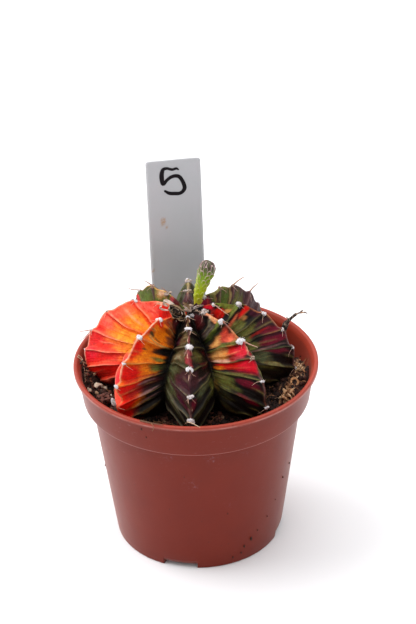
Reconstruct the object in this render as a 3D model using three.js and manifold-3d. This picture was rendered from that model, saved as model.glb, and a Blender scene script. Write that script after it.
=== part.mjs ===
// Potted cactus with a flower bud, a spent flower and a plant label.
// Millimetres, Z up. The pot stands on Z = 0 with its axis on the Z axis, and -Y is the front.
import * as THREE from "three";
import { mergeVertices } from "three/addons/utils/BufferGeometryUtils.js";
import Module from "manifold-3d";

const wasm = await Module();
wasm.setup();
const { Manifold, Mesh: SolidMesh } = wasm;

// Driving dimensions of the pot
const POT_HEIGHT = 52;
const RIM_RADIUS = 32.5;
const LIP_WIDTH = 1;
const LIP_DEPTH = 1.5;
const COLLAR_TOP_RADIUS = 31.5;
const COLLAR_BOTTOM_RADIUS = 30.25;
const COLLAR_DEPTH = 10.1;
const BODY_TOP_RADIUS = 28.2;
const FOOT_RADIUS = 22.75;
const WALL = 0.9;
const FOOT_WIDTH = 1.6;
const FLOOR_RISE = 1.8;
const FLOOR_THICKNESS = 1;
const NOTCH = { width: 9.3, count: 4, azimuth: 256 };
const DRAIN_HOLE = { radius: 2, distance: 16.5 };
const POT_SIDES = 48;

// Driving dimensions of the soil
const GAP = 0.3;
const SOIL_DEPTH = 9.2;
const SOIL_LUMP = 0.55;
const SOIL_SIDES = 40;
const SOIL_HEAPS = [
  { x: -20, y: -14, height: 3, spread: 60 },
  { x: -31.5, y: 1, height: 6.8, spread: 45 },
  { x: 29.5, y: 1.5, height: 4.3, spread: 130 },
];

// Driving dimensions of the plant, measured from a hub at rim level on the plant's own axis
const PLANT_X = -1.83;
const KEEL = 0.45;
const SCALLOP = 0.75;
const PLEAT = 0.5;
const UNDERSIDE_ANGLE = 146;
const CROWN_REACH = 14.2;
const ROOT = { radius: 5.4, depth: 17.5 };

// Distance of the rib edge and of the valley from the hub, against the angle from straight up
const EDGE_REACH = [
  [0, CROWN_REACH], [20, 17.9], [40, 21.9], [60, 25.2], [80, 27.5], [92, 28.4],
  [99, 28.2], [106, 26.2], [114, 23], [124, 18.5], [135, 15.2], [UNDERSIDE_ANGLE, 13],
];
const VALLEY_REACH = [
  [0, CROWN_REACH], [20, 14], [40, 13.2], [58, 14.8], [75, 16.4], [90, 17.6],
  [105, 16.8], [120, 14.2], [135, 12.2], [UNDERSIDE_ANGLE, 11.8],
];
const VALLEY_ANGLES = [0, 21, 36, 49.5, 61.5, 70.5, 81, 93, UNDERSIDE_ANGLE];

// One entry for each rib: its azimuth, the angles of its areoles, how far it fills its reach, how
// much higher its shoulder stands, how much lower its crown end lies, how much deeper its lower
// notches are and by how many degrees its foot swings round
const RIBS = [
  { azimuth: -0.8, areoles: [21.8, 38.7, 54.8, 70.4, 83, 96.4, 108] },
  { azimuth: 43.1, areoles: [19, 34.7, 46.4, 63.8, 76.6, 90, 103] },
  { azimuth: 88.5, areoles: [22.4, 36, 50, 63.9, 77, 91, 104], girth: 0.8 },
  { azimuth: 131.2, areoles: [24, 39.6, 55.8, 69, 82, 95, 107], girth: 0.93 },
  { azimuth: 169.2, areoles: [22, 39, 58.5, 75, 88.6, 97.4, 108], shoulder: 0.45, swing: 5.5 },
  { azimuth: 226.2, areoles: [16, 31.5, 50.5, 67, 80.5, 91, 103], dip: 1.8, notch: 1.5, swing: 3 },
  { azimuth: 270.4, areoles: [20, 36.4, 50.3, 63.7, 78.4, 91.6, 104] },
  { azimuth: 314.2, areoles: [20, 36.2, 54.4, 65.9, 79.5, 95.2, 107] },
].map((rib) => ({ girth: 1, shoulder: 0, dip: 0, notch: 0, swing: 0, ...rib }));
const WOOLLY_AREOLES = 6;
const TUFT = { width: 1.1, height: 0.72 };
const SPINE = { radius: 0.16, shortest: 3.2, longest: 6 };

// Driving dimensions of the bud, the spent flower, the label and the twig
const BUD = { foot: [0.75, 3, 14.55], tip: [4.05, 3.6, 27.85], sides: 11, scales: 11 };
const SPENT_FLOWER = {
  foot: [-4.08, -0.95, 15.56], aim: [-0.16, -0.902, 0.401], long: [0.746, -0.377, -0.549],
  length: 3.6, radius: 2.8, flatness: 0.58,
};
const LABEL = { width: 14.7, length: 72.2, point: 10, thickness: 0.6, corner: 0.8 };
const LABEL_PLACE = { x: -3.5, y: 21.8, depth: 26, yaw: 7.4, lean: 3.8, roll: 0.6 };
const TWIG = {
  radius: 0.55,
  path: [
    [22.2, 10.6, -12], [23.3, 10.3, -2], [24.3, 9.9, 4], [26.5, 9.8, 6.8], [27.9, 9.8, 7.7], [29.7, 9.7, 8],
  ],
};

// Loose pieces on the soil: place from the pot's axis and the rim, half sizes, turn about Z
const STONES = [
  { at: [-26.2, -3, -5.6], half: [1.2, 1, 0.9], turn: 20 },
  { at: [-25.1, -4.5, -6.7], half: [0.8, 0.7, 0.6], turn: 70 },
  { at: [-28.5, -4.6, -5.8], half: [0.8, 0.7, 0.65], turn: 140 },
  { at: [-22.7, -5.9, -7.2], half: [0.6, 0.5, 0.5], turn: 35 },
  { at: [-24.4, -2.4, -6.8], half: [0.8, 0.6, 0.6], turn: 10 },
  { at: [-24.2, -9.4, -6], half: [2.6, 2.2, 1.9], turn: 55 },
];
const BARK_CHIPS = [
  { at: [27.9, 1.9, -5], half: [0.8, 2.1, 0.7], turn: 40 },
  { at: [27.5, -1.9, -5.4], half: [1.2, 1, 0.7], turn: 15 },
  { at: [24.7, -6.5, -6.5], half: [1.5, 1.2, 0.9], turn: 60 },
  { at: [23.4, -9.3, -7], half: [1.2, 1.5, 0.8], turn: 20 },
];
const HUSK_RING = { at: [26, -4, -5.6], radius: 1, thickness: 0.34, tilt: 35 };

const AXIS_Z = new THREE.Vector3(0, 0, 1);

// Small helpers
function radians(degrees) {
  return THREE.MathUtils.degToRad(degrees);
}

function seeded(seed) {
  let state = seed;
  return () => {
    state = (state * 1664525 + 1013904223) % 4294967296;
    return state / 4294967296;
  };
}

// Height of a smooth curve through the knots, which are [x, height] pairs
function curveAt(knots, x) {
  let k = 0;
  while (k < knots.length - 2 && x > knots[k + 1][0]) {
    k += 1;
  }
  const [x0, y0] = knots[k];
  const [x1, y1] = knots[k + 1];
  const before = knots[Math.max(k - 1, 0)];
  const after = knots[Math.min(k + 2, knots.length - 1)];
  const span = x1 - x0;
  const f = THREE.MathUtils.clamp((x - x0) / span, 0, 1);
  const slope0 = (y1 - before[1]) / (x1 - before[0]);
  const slope1 = (after[1] - y0) / (after[0] - x0);
  const rise = y0 * (1 + 2 * f) * (1 - f) ** 2 + y1 * f * f * (3 - 2 * f);
  return rise + span * (slope0 * f * (1 - f) ** 2 - slope1 * f * f * (1 - f));
}

// Value at a fractional place in a list
function between(list, place) {
  const k = Math.min(Math.floor(place), list.length - 2);
  return THREE.MathUtils.lerp(list[k], list[k + 1], place - k);
}

function inPotFrame([x, y, z]) {
  return new THREE.Vector3(x, y, z + POT_HEIGHT);
}

// Closed surface from a first point, over rings listed downwards, to a last point
function skin(first, rings, last) {
  const sides = rings[0].length;
  const points = [first, ...rings.flat(), last];
  const faces = [];
  const at = (ring, i) => 1 + ring * sides + (i % sides);
  for (let i = 0; i < sides; i += 1) {
    faces.push(0, at(0, i), at(0, i + 1));
    faces.push(points.length - 1, at(rings.length - 1, i + 1), at(rings.length - 1, i));
    for (let ring = 0; ring + 1 < rings.length; ring += 1) {
      faces.push(at(ring, i), at(ring + 1, i), at(ring + 1, i + 1));
      faces.push(at(ring, i), at(ring + 1, i + 1), at(ring, i + 1));
    }
  }
  const geometry = new THREE.BufferGeometry().setFromPoints(points);
  geometry.setIndex(faces);
  return geometry;
}

// Round ring about a point, anticlockwise seen from the side that the direction points to
function ringAbout(centre, direction, radius, sides, shape = () => 1) {
  const turn = new THREE.Quaternion().setFromUnitVectors(AXIS_Z, direction.clone().normalize());
  return Array.from({ length: sides }, (_, i) => {
    const a = (2 * Math.PI * i) / sides;
    const r = radius * shape(a);
    return new THREE.Vector3(r * Math.cos(a), r * Math.sin(a), 0).applyQuaternion(turn).add(centre);
  });
}

// Round rod along a curve from its foot to its tip
function rod(curve, radiusAt, steps, sides) {
  const rings = [];
  for (let i = steps - 1; i >= 0; i -= 1) {
    const s = i / steps;
    rings.push(ringAbout(curve.getPoint(s), curve.getTangent(s), radiusAt(s), sides));
  }
  return skin(curve.getPoint(1), rings, curve.getPoint(0));
}

function cone(foot, tip, radius, sides) {
  return skin(tip, [ringAbout(foot, tip.clone().sub(foot), radius, sides)], foot);
}

function toSolid(geometry) {
  const bare = geometry.clone();
  bare.deleteAttribute("normal");
  bare.deleteAttribute("uv");
  const welded = mergeVertices(bare, 1e-4);
  const faces = [];
  for (let i = 0; i < welded.index.count; i += 3) {
    const [a, b, c] = [0, 1, 2].map((k) => welded.index.getX(i + k));
    if (a !== b && b !== c && c !== a) {
      faces.push(a, b, c);
    }
  }
  const mesh = new SolidMesh({
    numProp: 3,
    vertProperties: new Float32Array(welded.attributes.position.array),
    triVerts: new Uint32Array(faces),
  });
  return new Manifold(mesh);
}

function toGeometry(solid) {
  const mesh = solid.getMesh();
  const geometry = new THREE.BufferGeometry();
  geometry.setAttribute("position", new THREE.BufferAttribute(new Float32Array(mesh.vertProperties), 3));
  geometry.setIndex(new THREE.BufferAttribute(new Uint32Array(mesh.triVerts), 1));
  const faceted = geometry.toNonIndexed();
  faceted.computeVertexNormals();
  return faceted;
}

function join(geometries) {
  return Manifold.union(geometries.map(toSolid));
}

function piece(name, solid, color, roughness) {
  const material = new THREE.MeshStandardMaterial({ color, roughness, metalness: 0 });
  material.name = name;
  const mesh = new THREE.Mesh(toGeometry(solid), material);
  mesh.name = name;
  return mesh;
}

// Pot, turned about its axis, with drain notches in the foot and holes in the floor
const FLOOR_TOP = FLOOR_RISE + FLOOR_THICKNESS;
const COLLAR_FOOT = POT_HEIGHT - COLLAR_DEPTH;
const POT_INSIDE = [
  [RIM_RADIUS - LIP_WIDTH, POT_HEIGHT],
  [COLLAR_TOP_RADIUS - WALL, POT_HEIGHT - LIP_DEPTH],
  [COLLAR_BOTTOM_RADIUS - WALL, COLLAR_FOOT + WALL],
  [BODY_TOP_RADIUS - WALL, COLLAR_FOOT - 0.9],
  [FOOT_RADIUS - WALL, FLOOR_TOP + 0.9],
  [FOOT_RADIUS - 2 * WALL, FLOOR_TOP],
];

function potInnerRadius(z) {
  const k = Math.max(POT_INSIDE.findIndex(([, height]) => z >= height), 1);
  const [r0, z0] = POT_INSIDE[k - 1];
  const [r1, z1] = POT_INSIDE[k];
  return THREE.MathUtils.mapLinear(z, z0, z1, r0, r1);
}

function makePot() {
  const outside = [
    [0, FLOOR_RISE],
    [FOOT_RADIUS - FOOT_WIDTH, FLOOR_RISE],
    [FOOT_RADIUS - FOOT_WIDTH, 0],
    [FOOT_RADIUS - 0.5, 0],
    [FOOT_RADIUS, 0.5],
    [BODY_TOP_RADIUS, COLLAR_FOOT - 0.5],
    [COLLAR_BOTTOM_RADIUS - 0.4, COLLAR_FOOT - 0.1],
    [COLLAR_BOTTOM_RADIUS, COLLAR_FOOT + 0.4],
    [COLLAR_TOP_RADIUS, POT_HEIGHT - LIP_DEPTH],
    [RIM_RADIUS, POT_HEIGHT - LIP_DEPTH + 0.3],
    [RIM_RADIUS, POT_HEIGHT - 0.35],
    [RIM_RADIUS - 0.35, POT_HEIGHT],
  ];
  const profile = [...outside, ...POT_INSIDE, [0, FLOOR_TOP]].map(([r, z]) => new THREE.Vector2(r, z));
  const turned = new THREE.LatheGeometry(profile, POT_SIDES).rotateX(Math.PI / 2);
  let pot = toSolid(turned);
  for (let i = 0; i < NOTCH.count; i += 1) {
    const turn = radians(NOTCH.azimuth + (360 * i) / NOTCH.count);
    const notch = new THREE.BoxGeometry(3 * FOOT_WIDTH, NOTCH.width, 2 * FLOOR_RISE - 0.2);
    const hole = new THREE.CylinderGeometry(DRAIN_HOLE.radius, DRAIN_HOLE.radius, 6, 14).rotateX(Math.PI / 2);
    pot = pot.subtract(toSolid(notch.translate(FOOT_RADIUS, 0, 0).rotateZ(turn)));
    pot = pot.subtract(toSolid(hole.translate(DRAIN_HOLE.distance, 0, FLOOR_TOP).rotateZ(turn)));
  }
  return pot;
}

// Centre line of the bud and its radius along it
const BUD_CURVE = new THREE.CatmullRomCurve3([
  inPotFrame(BUD.foot), inPotFrame([1.15, 3.1, 18.1]), inPotFrame([2.35, 3.3, 22]), inPotFrame(BUD.tip),
]);
const BUD_RADIUS = [[0, 1.05], [0.3, 1.35], [0.6, 1.72], [0.82, 2.1], [0.93, 1.75], [1, 0.6]];

// Plant
function edgeReach(rib, angle) {
  const held = THREE.MathUtils.smoothstep(angle, 42, 66);
  const shoulder = rib.shoulder * Math.exp(-(((angle - 52) / 16) ** 2));
  const dip = rib.dip * Math.exp(-(((angle - 14) / 10) ** 2));
  return (curveAt(EDGE_REACH, angle) + shoulder - dip) * (1 - (1 - rib.girth) * held);
}

// Swelling of the flank between its creases: a slow rise to a crease, then a sharp drop under it
function sawtooth(f) {
  return f < 0.12 ? 1 - f / 0.06 : -1 + (f - 0.12) / 0.44;
}

// Inlet of the rib edge just above each areole
function inlet(f) {
  const quarter = Math.PI / 2;
  return f < 0.82 ? Math.sin(quarter * (f / 0.82)) ** 2 : Math.cos(quarter * ((f - 0.82) / 0.18)) ** 2;
}

// Point of a rib. Side is -1 or 1, t runs from the valley (0) to the edge (1) and level counts
// the areoles down from the crown. Swell makes a larger copy, as the pocket in the soil needs.
function ribPoint(k, side, t, level, swell) {
  const rib = RIBS[k];
  const next = RIBS[(k + side + RIBS.length) % RIBS.length];
  const step = (side * (next.azimuth - rib.azimuth) + 360) % 360;
  const halfAngle = radians(step / 2);
  const angle = THREE.MathUtils.lerp(
    between(VALLEY_ANGLES, level),
    between([0, ...rib.areoles, UNDERSIDE_ANGLE], level),
    t,
  );
  const f = level % 1;
  const shown = THREE.MathUtils.smoothstep(level, 0.8, 1.6) * (1 - THREE.MathUtils.smoothstep(level, 7, 7.6));
  const notch = SCALLOP * (1 + rib.notch * THREE.MathUtils.smoothstep(level, 4.6, 5));
  const edge = edgeReach(rib, angle) - notch * inlet(f) * shown;
  const reach = THREE.MathUtils.lerp(curveAt(VALLEY_REACH, angle), edge, t) + swell;
  const r = reach * Math.sin(radians(angle));
  const z = POT_HEIGHT + reach * Math.cos(radians(angle));
  const keelAngle = Math.min((KEEL + swell) / Math.max(r, 0.1), 0.35 * halfAngle);
  const crease = sawtooth(f) + 0.3 * sawtooth((f + 0.5) % 1);
  const folds = PLEAT * crease * shown * Math.sin(Math.PI * t);
  const swelling = (folds + swell * Math.min(1, 4 * t)) / Math.max(r, 1);
  const spread = 1 - (1 - t) ** 1.12;
  const turn = THREE.MathUtils.lerp(halfAngle, keelAngle, spread) + (t > 0 && t < 1 ? swelling : 0);
  const swing = rib.swing * t * THREE.MathUtils.smoothstep(level, 5, 6);
  const azimuth = radians(rib.azimuth + swing) + side * Math.min(turn, halfAngle);
  const point = new THREE.Vector3(PLANT_X + r * Math.cos(azimuth), r * Math.sin(azimuth), z);
  const limit = z < POT_HEIGHT && swell === 0 ? potInnerRadius(z) - GAP - 0.15 : Infinity;
  const out = Math.hypot(point.x, point.y);
  if (out > limit) {
    point.x *= limit / out;
    point.y *= limit / out;
  }
  return point;
}

function plantRing(level, flankSteps, swell) {
  const ring = [];
  RIBS.forEach((_, k) => {
    flankSteps.forEach((t) => ring.push(ribPoint(k, -1, t, level, swell)));
    [...flankSteps].reverse().forEach((t) => t > 0 && ring.push(ribPoint(k, 1, t, level, swell)));
  });
  return ring;
}

// Rings of the tap root, which ends the body below the ribs
function rootRings(sides, swell) {
  return [0, 0.45, 0.85].map((s) => {
    const z = POT_HEIGHT - THREE.MathUtils.lerp(11.6, ROOT.depth, s);
    const centre = new THREE.Vector3(PLANT_X, 0, z - swell * s);
    const radius = ROOT.radius * (1 - 0.75 * s) + swell;
    return ringAbout(centre, AXIS_Z, radius, sides);
  });
}

function plantBody(levels, flankSteps, swell) {
  const rings = levels.map((level) => plantRing(level, flankSteps, swell));
  const sides = rings[0].length;
  const firstTurn = RIBS[0].azimuth - (RIBS[0].azimuth + 360 - RIBS.at(-1).azimuth) / 2;
  const roots = rootRings(sides, swell).map((ring) =>
    ring.map((p) => p.sub(new THREE.Vector3(PLANT_X, 0, 0)).applyAxisAngle(AXIS_Z, radians(firstTurn)))
      .map((p) => p.add(new THREE.Vector3(PLANT_X, 0, 0))));
  const top = new THREE.Vector3(PLANT_X, 0, POT_HEIGHT + CROWN_REACH + swell);
  const bottom = new THREE.Vector3(PLANT_X, 0, POT_HEIGHT - ROOT.depth - 0.6 - swell);
  return skin(top, [...rings, ...roots], bottom);
}

function plantLevels(fractions) {
  const levels = [0.35, 0.7];
  for (let areole = 1; areole <= 7; areole += 1) {
    const inside = areole < 7 ? fractions : [0, 0.2, 0.4, 0.6, 0.8];
    inside.forEach((f) => levels.push(areole + f));
  }
  levels.push(8);
  return levels;
}

// Place of an areole and the directions out of the plant, down the edge and along the azimuth
function areoleFrame(k, number) {
  const rib = RIBS[k];
  const level = number + 1;
  const centre = ribPoint(k, 1, 1, level, 0).add(ribPoint(k, -1, 1, level, 0)).multiplyScalar(0.5);
  const below = ribPoint(k, 1, 1, level + 0.3, 0).add(ribPoint(k, -1, 1, level + 0.3, 0)).multiplyScalar(0.5);
  const down = below.sub(centre).normalize();
  const azimuth = radians(rib.azimuth + rib.swing * THREE.MathUtils.smoothstep(level, 5, 6));
  const along = new THREE.Vector3(-Math.sin(azimuth), Math.cos(azimuth), 0);
  const out = new THREE.Vector3().crossVectors(along, down).normalize();
  return { centre, out, down, along };
}

function woolTuft({ centre, out, down, along }, scale) {
  const ball = new THREE.SphereGeometry(1, 6, 3);
  ball.scale(TUFT.width * scale, TUFT.width * scale * 0.85, TUFT.height * scale);
  const turn = new THREE.Matrix4().makeBasis(along, down.clone(), out.clone());
  if (turn.determinant() < 0) {
    turn.makeBasis(along.clone().negate(), down, out);
  }
  return ball.applyMatrix4(turn).translate(centre.x, centre.y, centre.z);
}

// A spine stays clear of the pot, the soil, the label, the bud and the spent flower
function isClear(tip) {
  const out = Math.hypot(tip.x, tip.y);
  const nearBud = [0, 0.3, 0.6, 0.9].some((s) => BUD_CURVE.getPoint(s).distanceTo(tip) < 3.6);
  const nearSpentFlower = inPotFrame(SPENT_FLOWER.foot).distanceTo(tip) < 6;
  const inPot = tip.z < POT_HEIGHT + 1;
  const nearWall = inPot && out > potInnerRadius(Math.min(tip.z, POT_HEIGHT)) - 0.9;
  const nearSoil = tip.z < POT_HEIGHT - SOIL_DEPTH + 3;
  const nearLabel = tip.y > LABEL_PLACE.y - 0.6 && Math.abs(tip.x - LABEL_PLACE.x) < LABEL.width / 2 + 2;
  return !nearWall && !nearSoil && !nearLabel && !nearBud && !nearSpentFlower && out < RIM_RADIUS - 0.3;
}

function spines(frame, random) {
  const made = [];
  [-1, 1].forEach((side) => {
    const aim = frame.out.clone().multiplyScalar(0.35 + 0.35 * random());
    aim.addScaledVector(frame.down, 0.9 * random());
    aim.addScaledVector(frame.along, side * (0.3 + 0.5 * random()));
    const length = THREE.MathUtils.lerp(SPINE.shortest, SPINE.longest, random());
    const tip = frame.centre.clone().addScaledVector(aim.normalize(), length);
    const foot = frame.centre.clone().addScaledVector(frame.out, -0.25);
    if (isClear(tip) && isClear(tip.clone().lerp(foot, 0.5))) {
      made.push(cone(foot, tip, SPINE.radius, 3));
    }
  });
  return made;
}

function makePlant(standing) {
  const random = seeded(11);
  const pieces = [plantBody(plantLevels([0, 0.12, 0.5, 0.62]), [0, 0.38, 0.78, 1], 0)];
  RIBS.forEach((_, k) => {
    for (let number = 0; number < WOOLLY_AREOLES; number += 1) {
      const frame = areoleFrame(k, number);
      const wall = potInnerRadius(Math.min(frame.centre.z, POT_HEIGHT));
      const room = wall - Math.hypot(frame.centre.x, frame.centre.y);
      if (frame.centre.z > POT_HEIGHT || room > 1.3) {
        pieces.push(woolTuft(frame, 0.85 + 0.35 * random()));
        pieces.push(...spines(frame, random));
      }
    }
  });
  for (let i = 0; i < 5; i += 1) {
    const a = (2 * Math.PI * i) / 5 + 0.6;
    const centre = new THREE.Vector3(PLANT_X + 2 * Math.cos(a), 2 * Math.sin(a), POT_HEIGHT + CROWN_REACH);
    pieces.push(new THREE.SphereGeometry(0.95, 6, 3).translate(...centre.toArray()));
  }
  return standing.reduce((plant, socket) => plant.subtract(socket), join(pieces));
}

// Bud, a leaning club with small pointed scales on its head, and the socket it stands in
function makeBudSocket() {
  const foot = BUD_CURVE.getPoint(0).sub(new THREE.Vector3(0, 0, GAP));
  const lower = BUD_CURVE.getPoint(0.3);
  return toSolid(skin(lower, [
    ringAbout(lower, AXIS_Z, curveAt(BUD_RADIUS, 0.3) + GAP, BUD.sides),
    ringAbout(foot, AXIS_Z, BUD_RADIUS[0][1] + GAP, BUD.sides),
  ], foot));
}

function makeBud() {
  const pieces = [rod(BUD_CURVE, (s) => curveAt(BUD_RADIUS, s), 12, BUD.sides)];
  for (let i = 0; i < BUD.scales; i += 1) {
    const s = 0.42 + (0.5 * i) / BUD.scales;
    const a = 2.4 * i;
    const radius = curveAt(BUD_RADIUS, s);
    const around = ringAbout(new THREE.Vector3(), BUD_CURVE.getTangent(s), 1, 360);
    const side = around[Math.round((a * 180) / Math.PI) % 360];
    const foot = BUD_CURVE.getPoint(s).addScaledVector(side, radius - 0.35);
    const tip = BUD_CURVE.getPoint(Math.min(s + 0.13, 0.97)).addScaledVector(side, radius * 0.98 + 0.2);
    pieces.push(cone(foot, tip, 0.55, 5));
  }
  return join(pieces);
}

// Spent flower, a small open cup with a torn rim and dry threads inside
function placeSpentFlower(geometry) {
  const aim = new THREE.Vector3(...SPENT_FLOWER.aim).normalize();
  const long = new THREE.Vector3(...SPENT_FLOWER.long).normalize();
  const short = new THREE.Vector3().crossVectors(aim, long).normalize();
  const turn = new THREE.Matrix4().makeBasis(new THREE.Vector3().crossVectors(short, aim), short, aim);
  const place = inPotFrame(SPENT_FLOWER.foot);
  return geometry.scale(1, SPENT_FLOWER.flatness, 1).applyMatrix4(turn).translate(place.x, place.y, place.z);
}

function makeSpentFlowerSocket() {
  const { length, radius } = SPENT_FLOWER;
  const profile = [
    [0, -0.5], [1.5, -0.5], [1.9, 0.4],
    [radius + 0.5, length - 0.8], [radius + 0.6, length + 0.4], [0, length + 0.4],
  ].map(([r, z]) => new THREE.Vector2(r, z));
  return toSolid(placeSpentFlower(new THREE.LatheGeometry(profile, 12).rotateX(Math.PI / 2)));
}

function makeSpentFlower() {
  const { length, radius } = SPENT_FLOWER;
  const profile = [
    [0, 0], [0.9, 0], [1.3, 0.8], [radius - 0.2, length - 0.8], [radius, length],
    [radius - 0.35, length], [radius - 0.6, length - 0.9], [0.9, 1.2], [0, 1.1],
  ].map(([r, z]) => new THREE.Vector2(r, z));
  const pieces = [new THREE.LatheGeometry(profile, 12).rotateX(Math.PI / 2)];
  const random = seeded(5);
  for (let i = 0; i < 8; i += 1) {
    const a = (2 * Math.PI * i) / 8;
    const rim = new THREE.Vector3(Math.cos(a), Math.sin(a), 0).multiplyScalar(radius - 0.3);
    const foot = rim.clone().setZ(length - 0.5);
    const tip = rim.clone().multiplyScalar(0.75 + 0.5 * random()).setZ(length + 0.5 + random());
    pieces.push(cone(foot, tip, 0.42, 4));
  }
  for (let i = 0; i < 6; i += 1) {
    const a = (2 * Math.PI * i) / 6 + 0.4;
    const foot = new THREE.Vector3(0.5 * Math.cos(a), 0.5 * Math.sin(a), 0.8);
    const tip = new THREE.Vector3(1.1 * Math.cos(a), 1.1 * Math.sin(a), length - 0.4 + 0.6 * random());
    pieces.push(cone(foot, tip, 0.2, 4));
  }
  return join(pieces.map(placeSpentFlower));
}

// Label, a flat strip with rounded top corners and a pointed foot, larger by a margin for its slot
function makeLabel(margin) {
  const half = LABEL.width / 2 + margin;
  const top = LABEL.length + margin;
  const outline = new THREE.Shape();
  outline.moveTo(0, -margin);
  outline.lineTo(half, LABEL.point);
  outline.lineTo(half, top - LABEL.corner);
  outline.absarc(half - LABEL.corner, top - LABEL.corner, LABEL.corner, 0, Math.PI / 2);
  outline.absarc(LABEL.corner - half, top - LABEL.corner, LABEL.corner, Math.PI / 2, Math.PI);
  outline.lineTo(-half, LABEL.point);
  const depth = LABEL.thickness + 2 * margin;
  const strip = new THREE.ExtrudeGeometry(outline, { depth, bevelEnabled: false, curveSegments: 3 });
  strip.translate(0, 0, -depth / 2).rotateZ(radians(LABEL_PLACE.roll));
  strip.rotateX(Math.PI / 2 - radians(LABEL_PLACE.lean));
  strip.rotateZ(radians(LABEL_PLACE.yaw));
  return toSolid(strip.translate(LABEL_PLACE.x, LABEL_PLACE.y, POT_HEIGHT - LABEL_PLACE.depth));
}

// Loose pieces
function lump({ at, half, turn }, seed, margin = 0) {
  const raw = new THREE.IcosahedronGeometry(1, 1).deleteAttribute("uv").deleteAttribute("normal");
  const ball = mergeVertices(raw, 1e-3);
  const random = seeded(seed);
  const place = ball.attributes.position;
  for (let i = 0; i < place.count; i += 1) {
    const jitter = 0.86 + 0.26 * random();
    const point = new THREE.Vector3().fromBufferAttribute(place, i).multiplyScalar(jitter);
    place.setXYZ(i, ...point.toArray().map((value, axis) => value * half[axis] * (1 + margin / half[axis])));
  }
  return toSolid(ball.rotateZ(radians(turn)).translate(...inPotFrame(at).toArray()));
}

function makeHuskRing(margin) {
  const { at, radius, thickness, tilt } = HUSK_RING;
  const ring = new THREE.TorusGeometry(radius, thickness + margin, 6, 12).scale(1, 1, 0.8);
  ring.rotateX(radians(tilt));
  return toSolid(ring.translate(...inPotFrame(at).toArray()));
}

function makeTwig(margin) {
  const path = TWIG.path.map(inPotFrame);
  const curve = new THREE.CatmullRomCurve3(path);
  const stem = rod(curve, (s) => (TWIG.radius + margin) * (1 - 0.45 * s), 8, 6);
  const forkTip = path.at(-1).clone().add(new THREE.Vector3(-1.2, 0.3, 0.7));
  const fork = cone(curve.getPoint(0.84), forkTip, 0.22 + margin, 5);
  return join([stem, fork]);
}

// Soil, a plug that fits the pot, with a lumpy top and plain holes for what stands in it
function soilTop(x, y) {
  const waves = Math.sin(0.62 * x + 1.3) * Math.cos(0.55 * y - 0.4) + 0.6 * Math.sin(1.35 * x - 0.9 * y);
  const heaps = SOIL_HEAPS.map((heap) =>
    heap.height * Math.exp(-((x - heap.x) ** 2 + (y - heap.y) ** 2) / heap.spread));
  return heaps.reduce((sum, rise) => sum + rise, POT_HEIGHT - SOIL_DEPTH + SOIL_LUMP * waves);
}

function makeSoil(standing) {
  const turns = Array.from({ length: SOIL_SIDES }, (_, i) => (2 * Math.PI * i) / SOIL_SIDES);
  const onWall = (a, z) => {
    const r = potInnerRadius(z) - GAP;
    return new THREE.Vector3(r * Math.cos(a), r * Math.sin(a), z);
  };
  const topRing = (share) => turns.map((a) => {
    const x = share * BODY_TOP_RADIUS * Math.cos(a);
    const y = share * BODY_TOP_RADIUS * Math.sin(a);
    return new THREE.Vector3(x, y, soilTop(x, y));
  });
  const heightAtWall = (a) => soilTop(BODY_TOP_RADIUS * Math.cos(a), BODY_TOP_RADIUS * Math.sin(a));
  const edge = turns.map((a) => onWall(a, heightAtWall(a) - 0.2));
  const bend = edge.map((point, i) => onWall(turns[i], Math.min(point.z - 0.3, COLLAR_FOOT + WALL)));
  const rings = [0.15, 0.35, 0.55, 0.7, 0.8, 0.88, 0.95, 1].map(topRing);
  rings.push(edge, bend);
  const lower = [COLLAR_FOOT - 1, FLOOR_TOP + 1.2, FLOOR_TOP + GAP];
  lower.forEach((z) => rings.push(turns.map((a) => onWall(a, z))));
  const middle = new THREE.Vector3(0, 0, soilTop(0, 0));
  const plug = toSolid(skin(middle, rings, new THREE.Vector3(0, 0, FLOOR_TOP + GAP)));
  return standing.reduce((soil, hole) => soil.subtract(hole), plug);
}

const stones = STONES.map((stone, i) => lump(stone, 20 + i));
const chips = BARK_CHIPS.map((chip, i) => lump(chip, 40 + i));
const pocket = toSolid(plantBody(plantLevels([0, 0.5]), [0, 0.4, 0.8, 1], 0.6));
const holes = [
  pocket,
  makeLabel(GAP),
  makeHuskRing(GAP),
  makeTwig(GAP),
  ...STONES.map((stone, i) => lump(stone, 20 + i, GAP)),
  ...BARK_CHIPS.map((chip, i) => lump(chip, 40 + i, GAP)),
];

const group = new THREE.Group();
group.add(piece("pot", makePot(), 0x8a4034, 0.5));
group.add(piece("soil", makeSoil(holes), 0x241510, 0.95));
group.add(piece("cactus_body", makePlant([makeBudSocket(), makeSpentFlowerSocket()]), 0xa04a34, 0.55));
group.add(piece("flower_bud", makeBud(), 0x8fae2c, 0.5));
group.add(piece("dried_flower", makeSpentFlower(), 0x8a6a48, 0.9));
group.add(piece("plant_label", makeLabel(0), 0xa3a3a6, 0.45));
group.add(piece("husk_ring", makeHuskRing(0), 0x9a6b3a, 0.9));
group.add(piece("twig", makeTwig(0), 0x4a3020, 0.9));
stones.forEach((stone, i) => group.add(piece(`stone_${i + 1}`, stone, i < 5 ? 0xd8c8b0 : 0x6b4a3a, 0.85)));
chips.forEach((chip, i) => group.add(piece(`bark_chip_${i + 1}`, chip, 0xa87a48, 0.9)));

export default group;
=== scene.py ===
# Potted cactus with a flower bud, a spent flower and a plant label: the finish of every surface.
# Sizes are millimetres until mesh_object turns them into metres. Z is up, -Y is the front.
import math
import bmesh
import bpy
import numpy as np
from mathutils import Euler, Matrix, Quaternion, Vector
from mathutils.bvhtree import BVHTree


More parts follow.
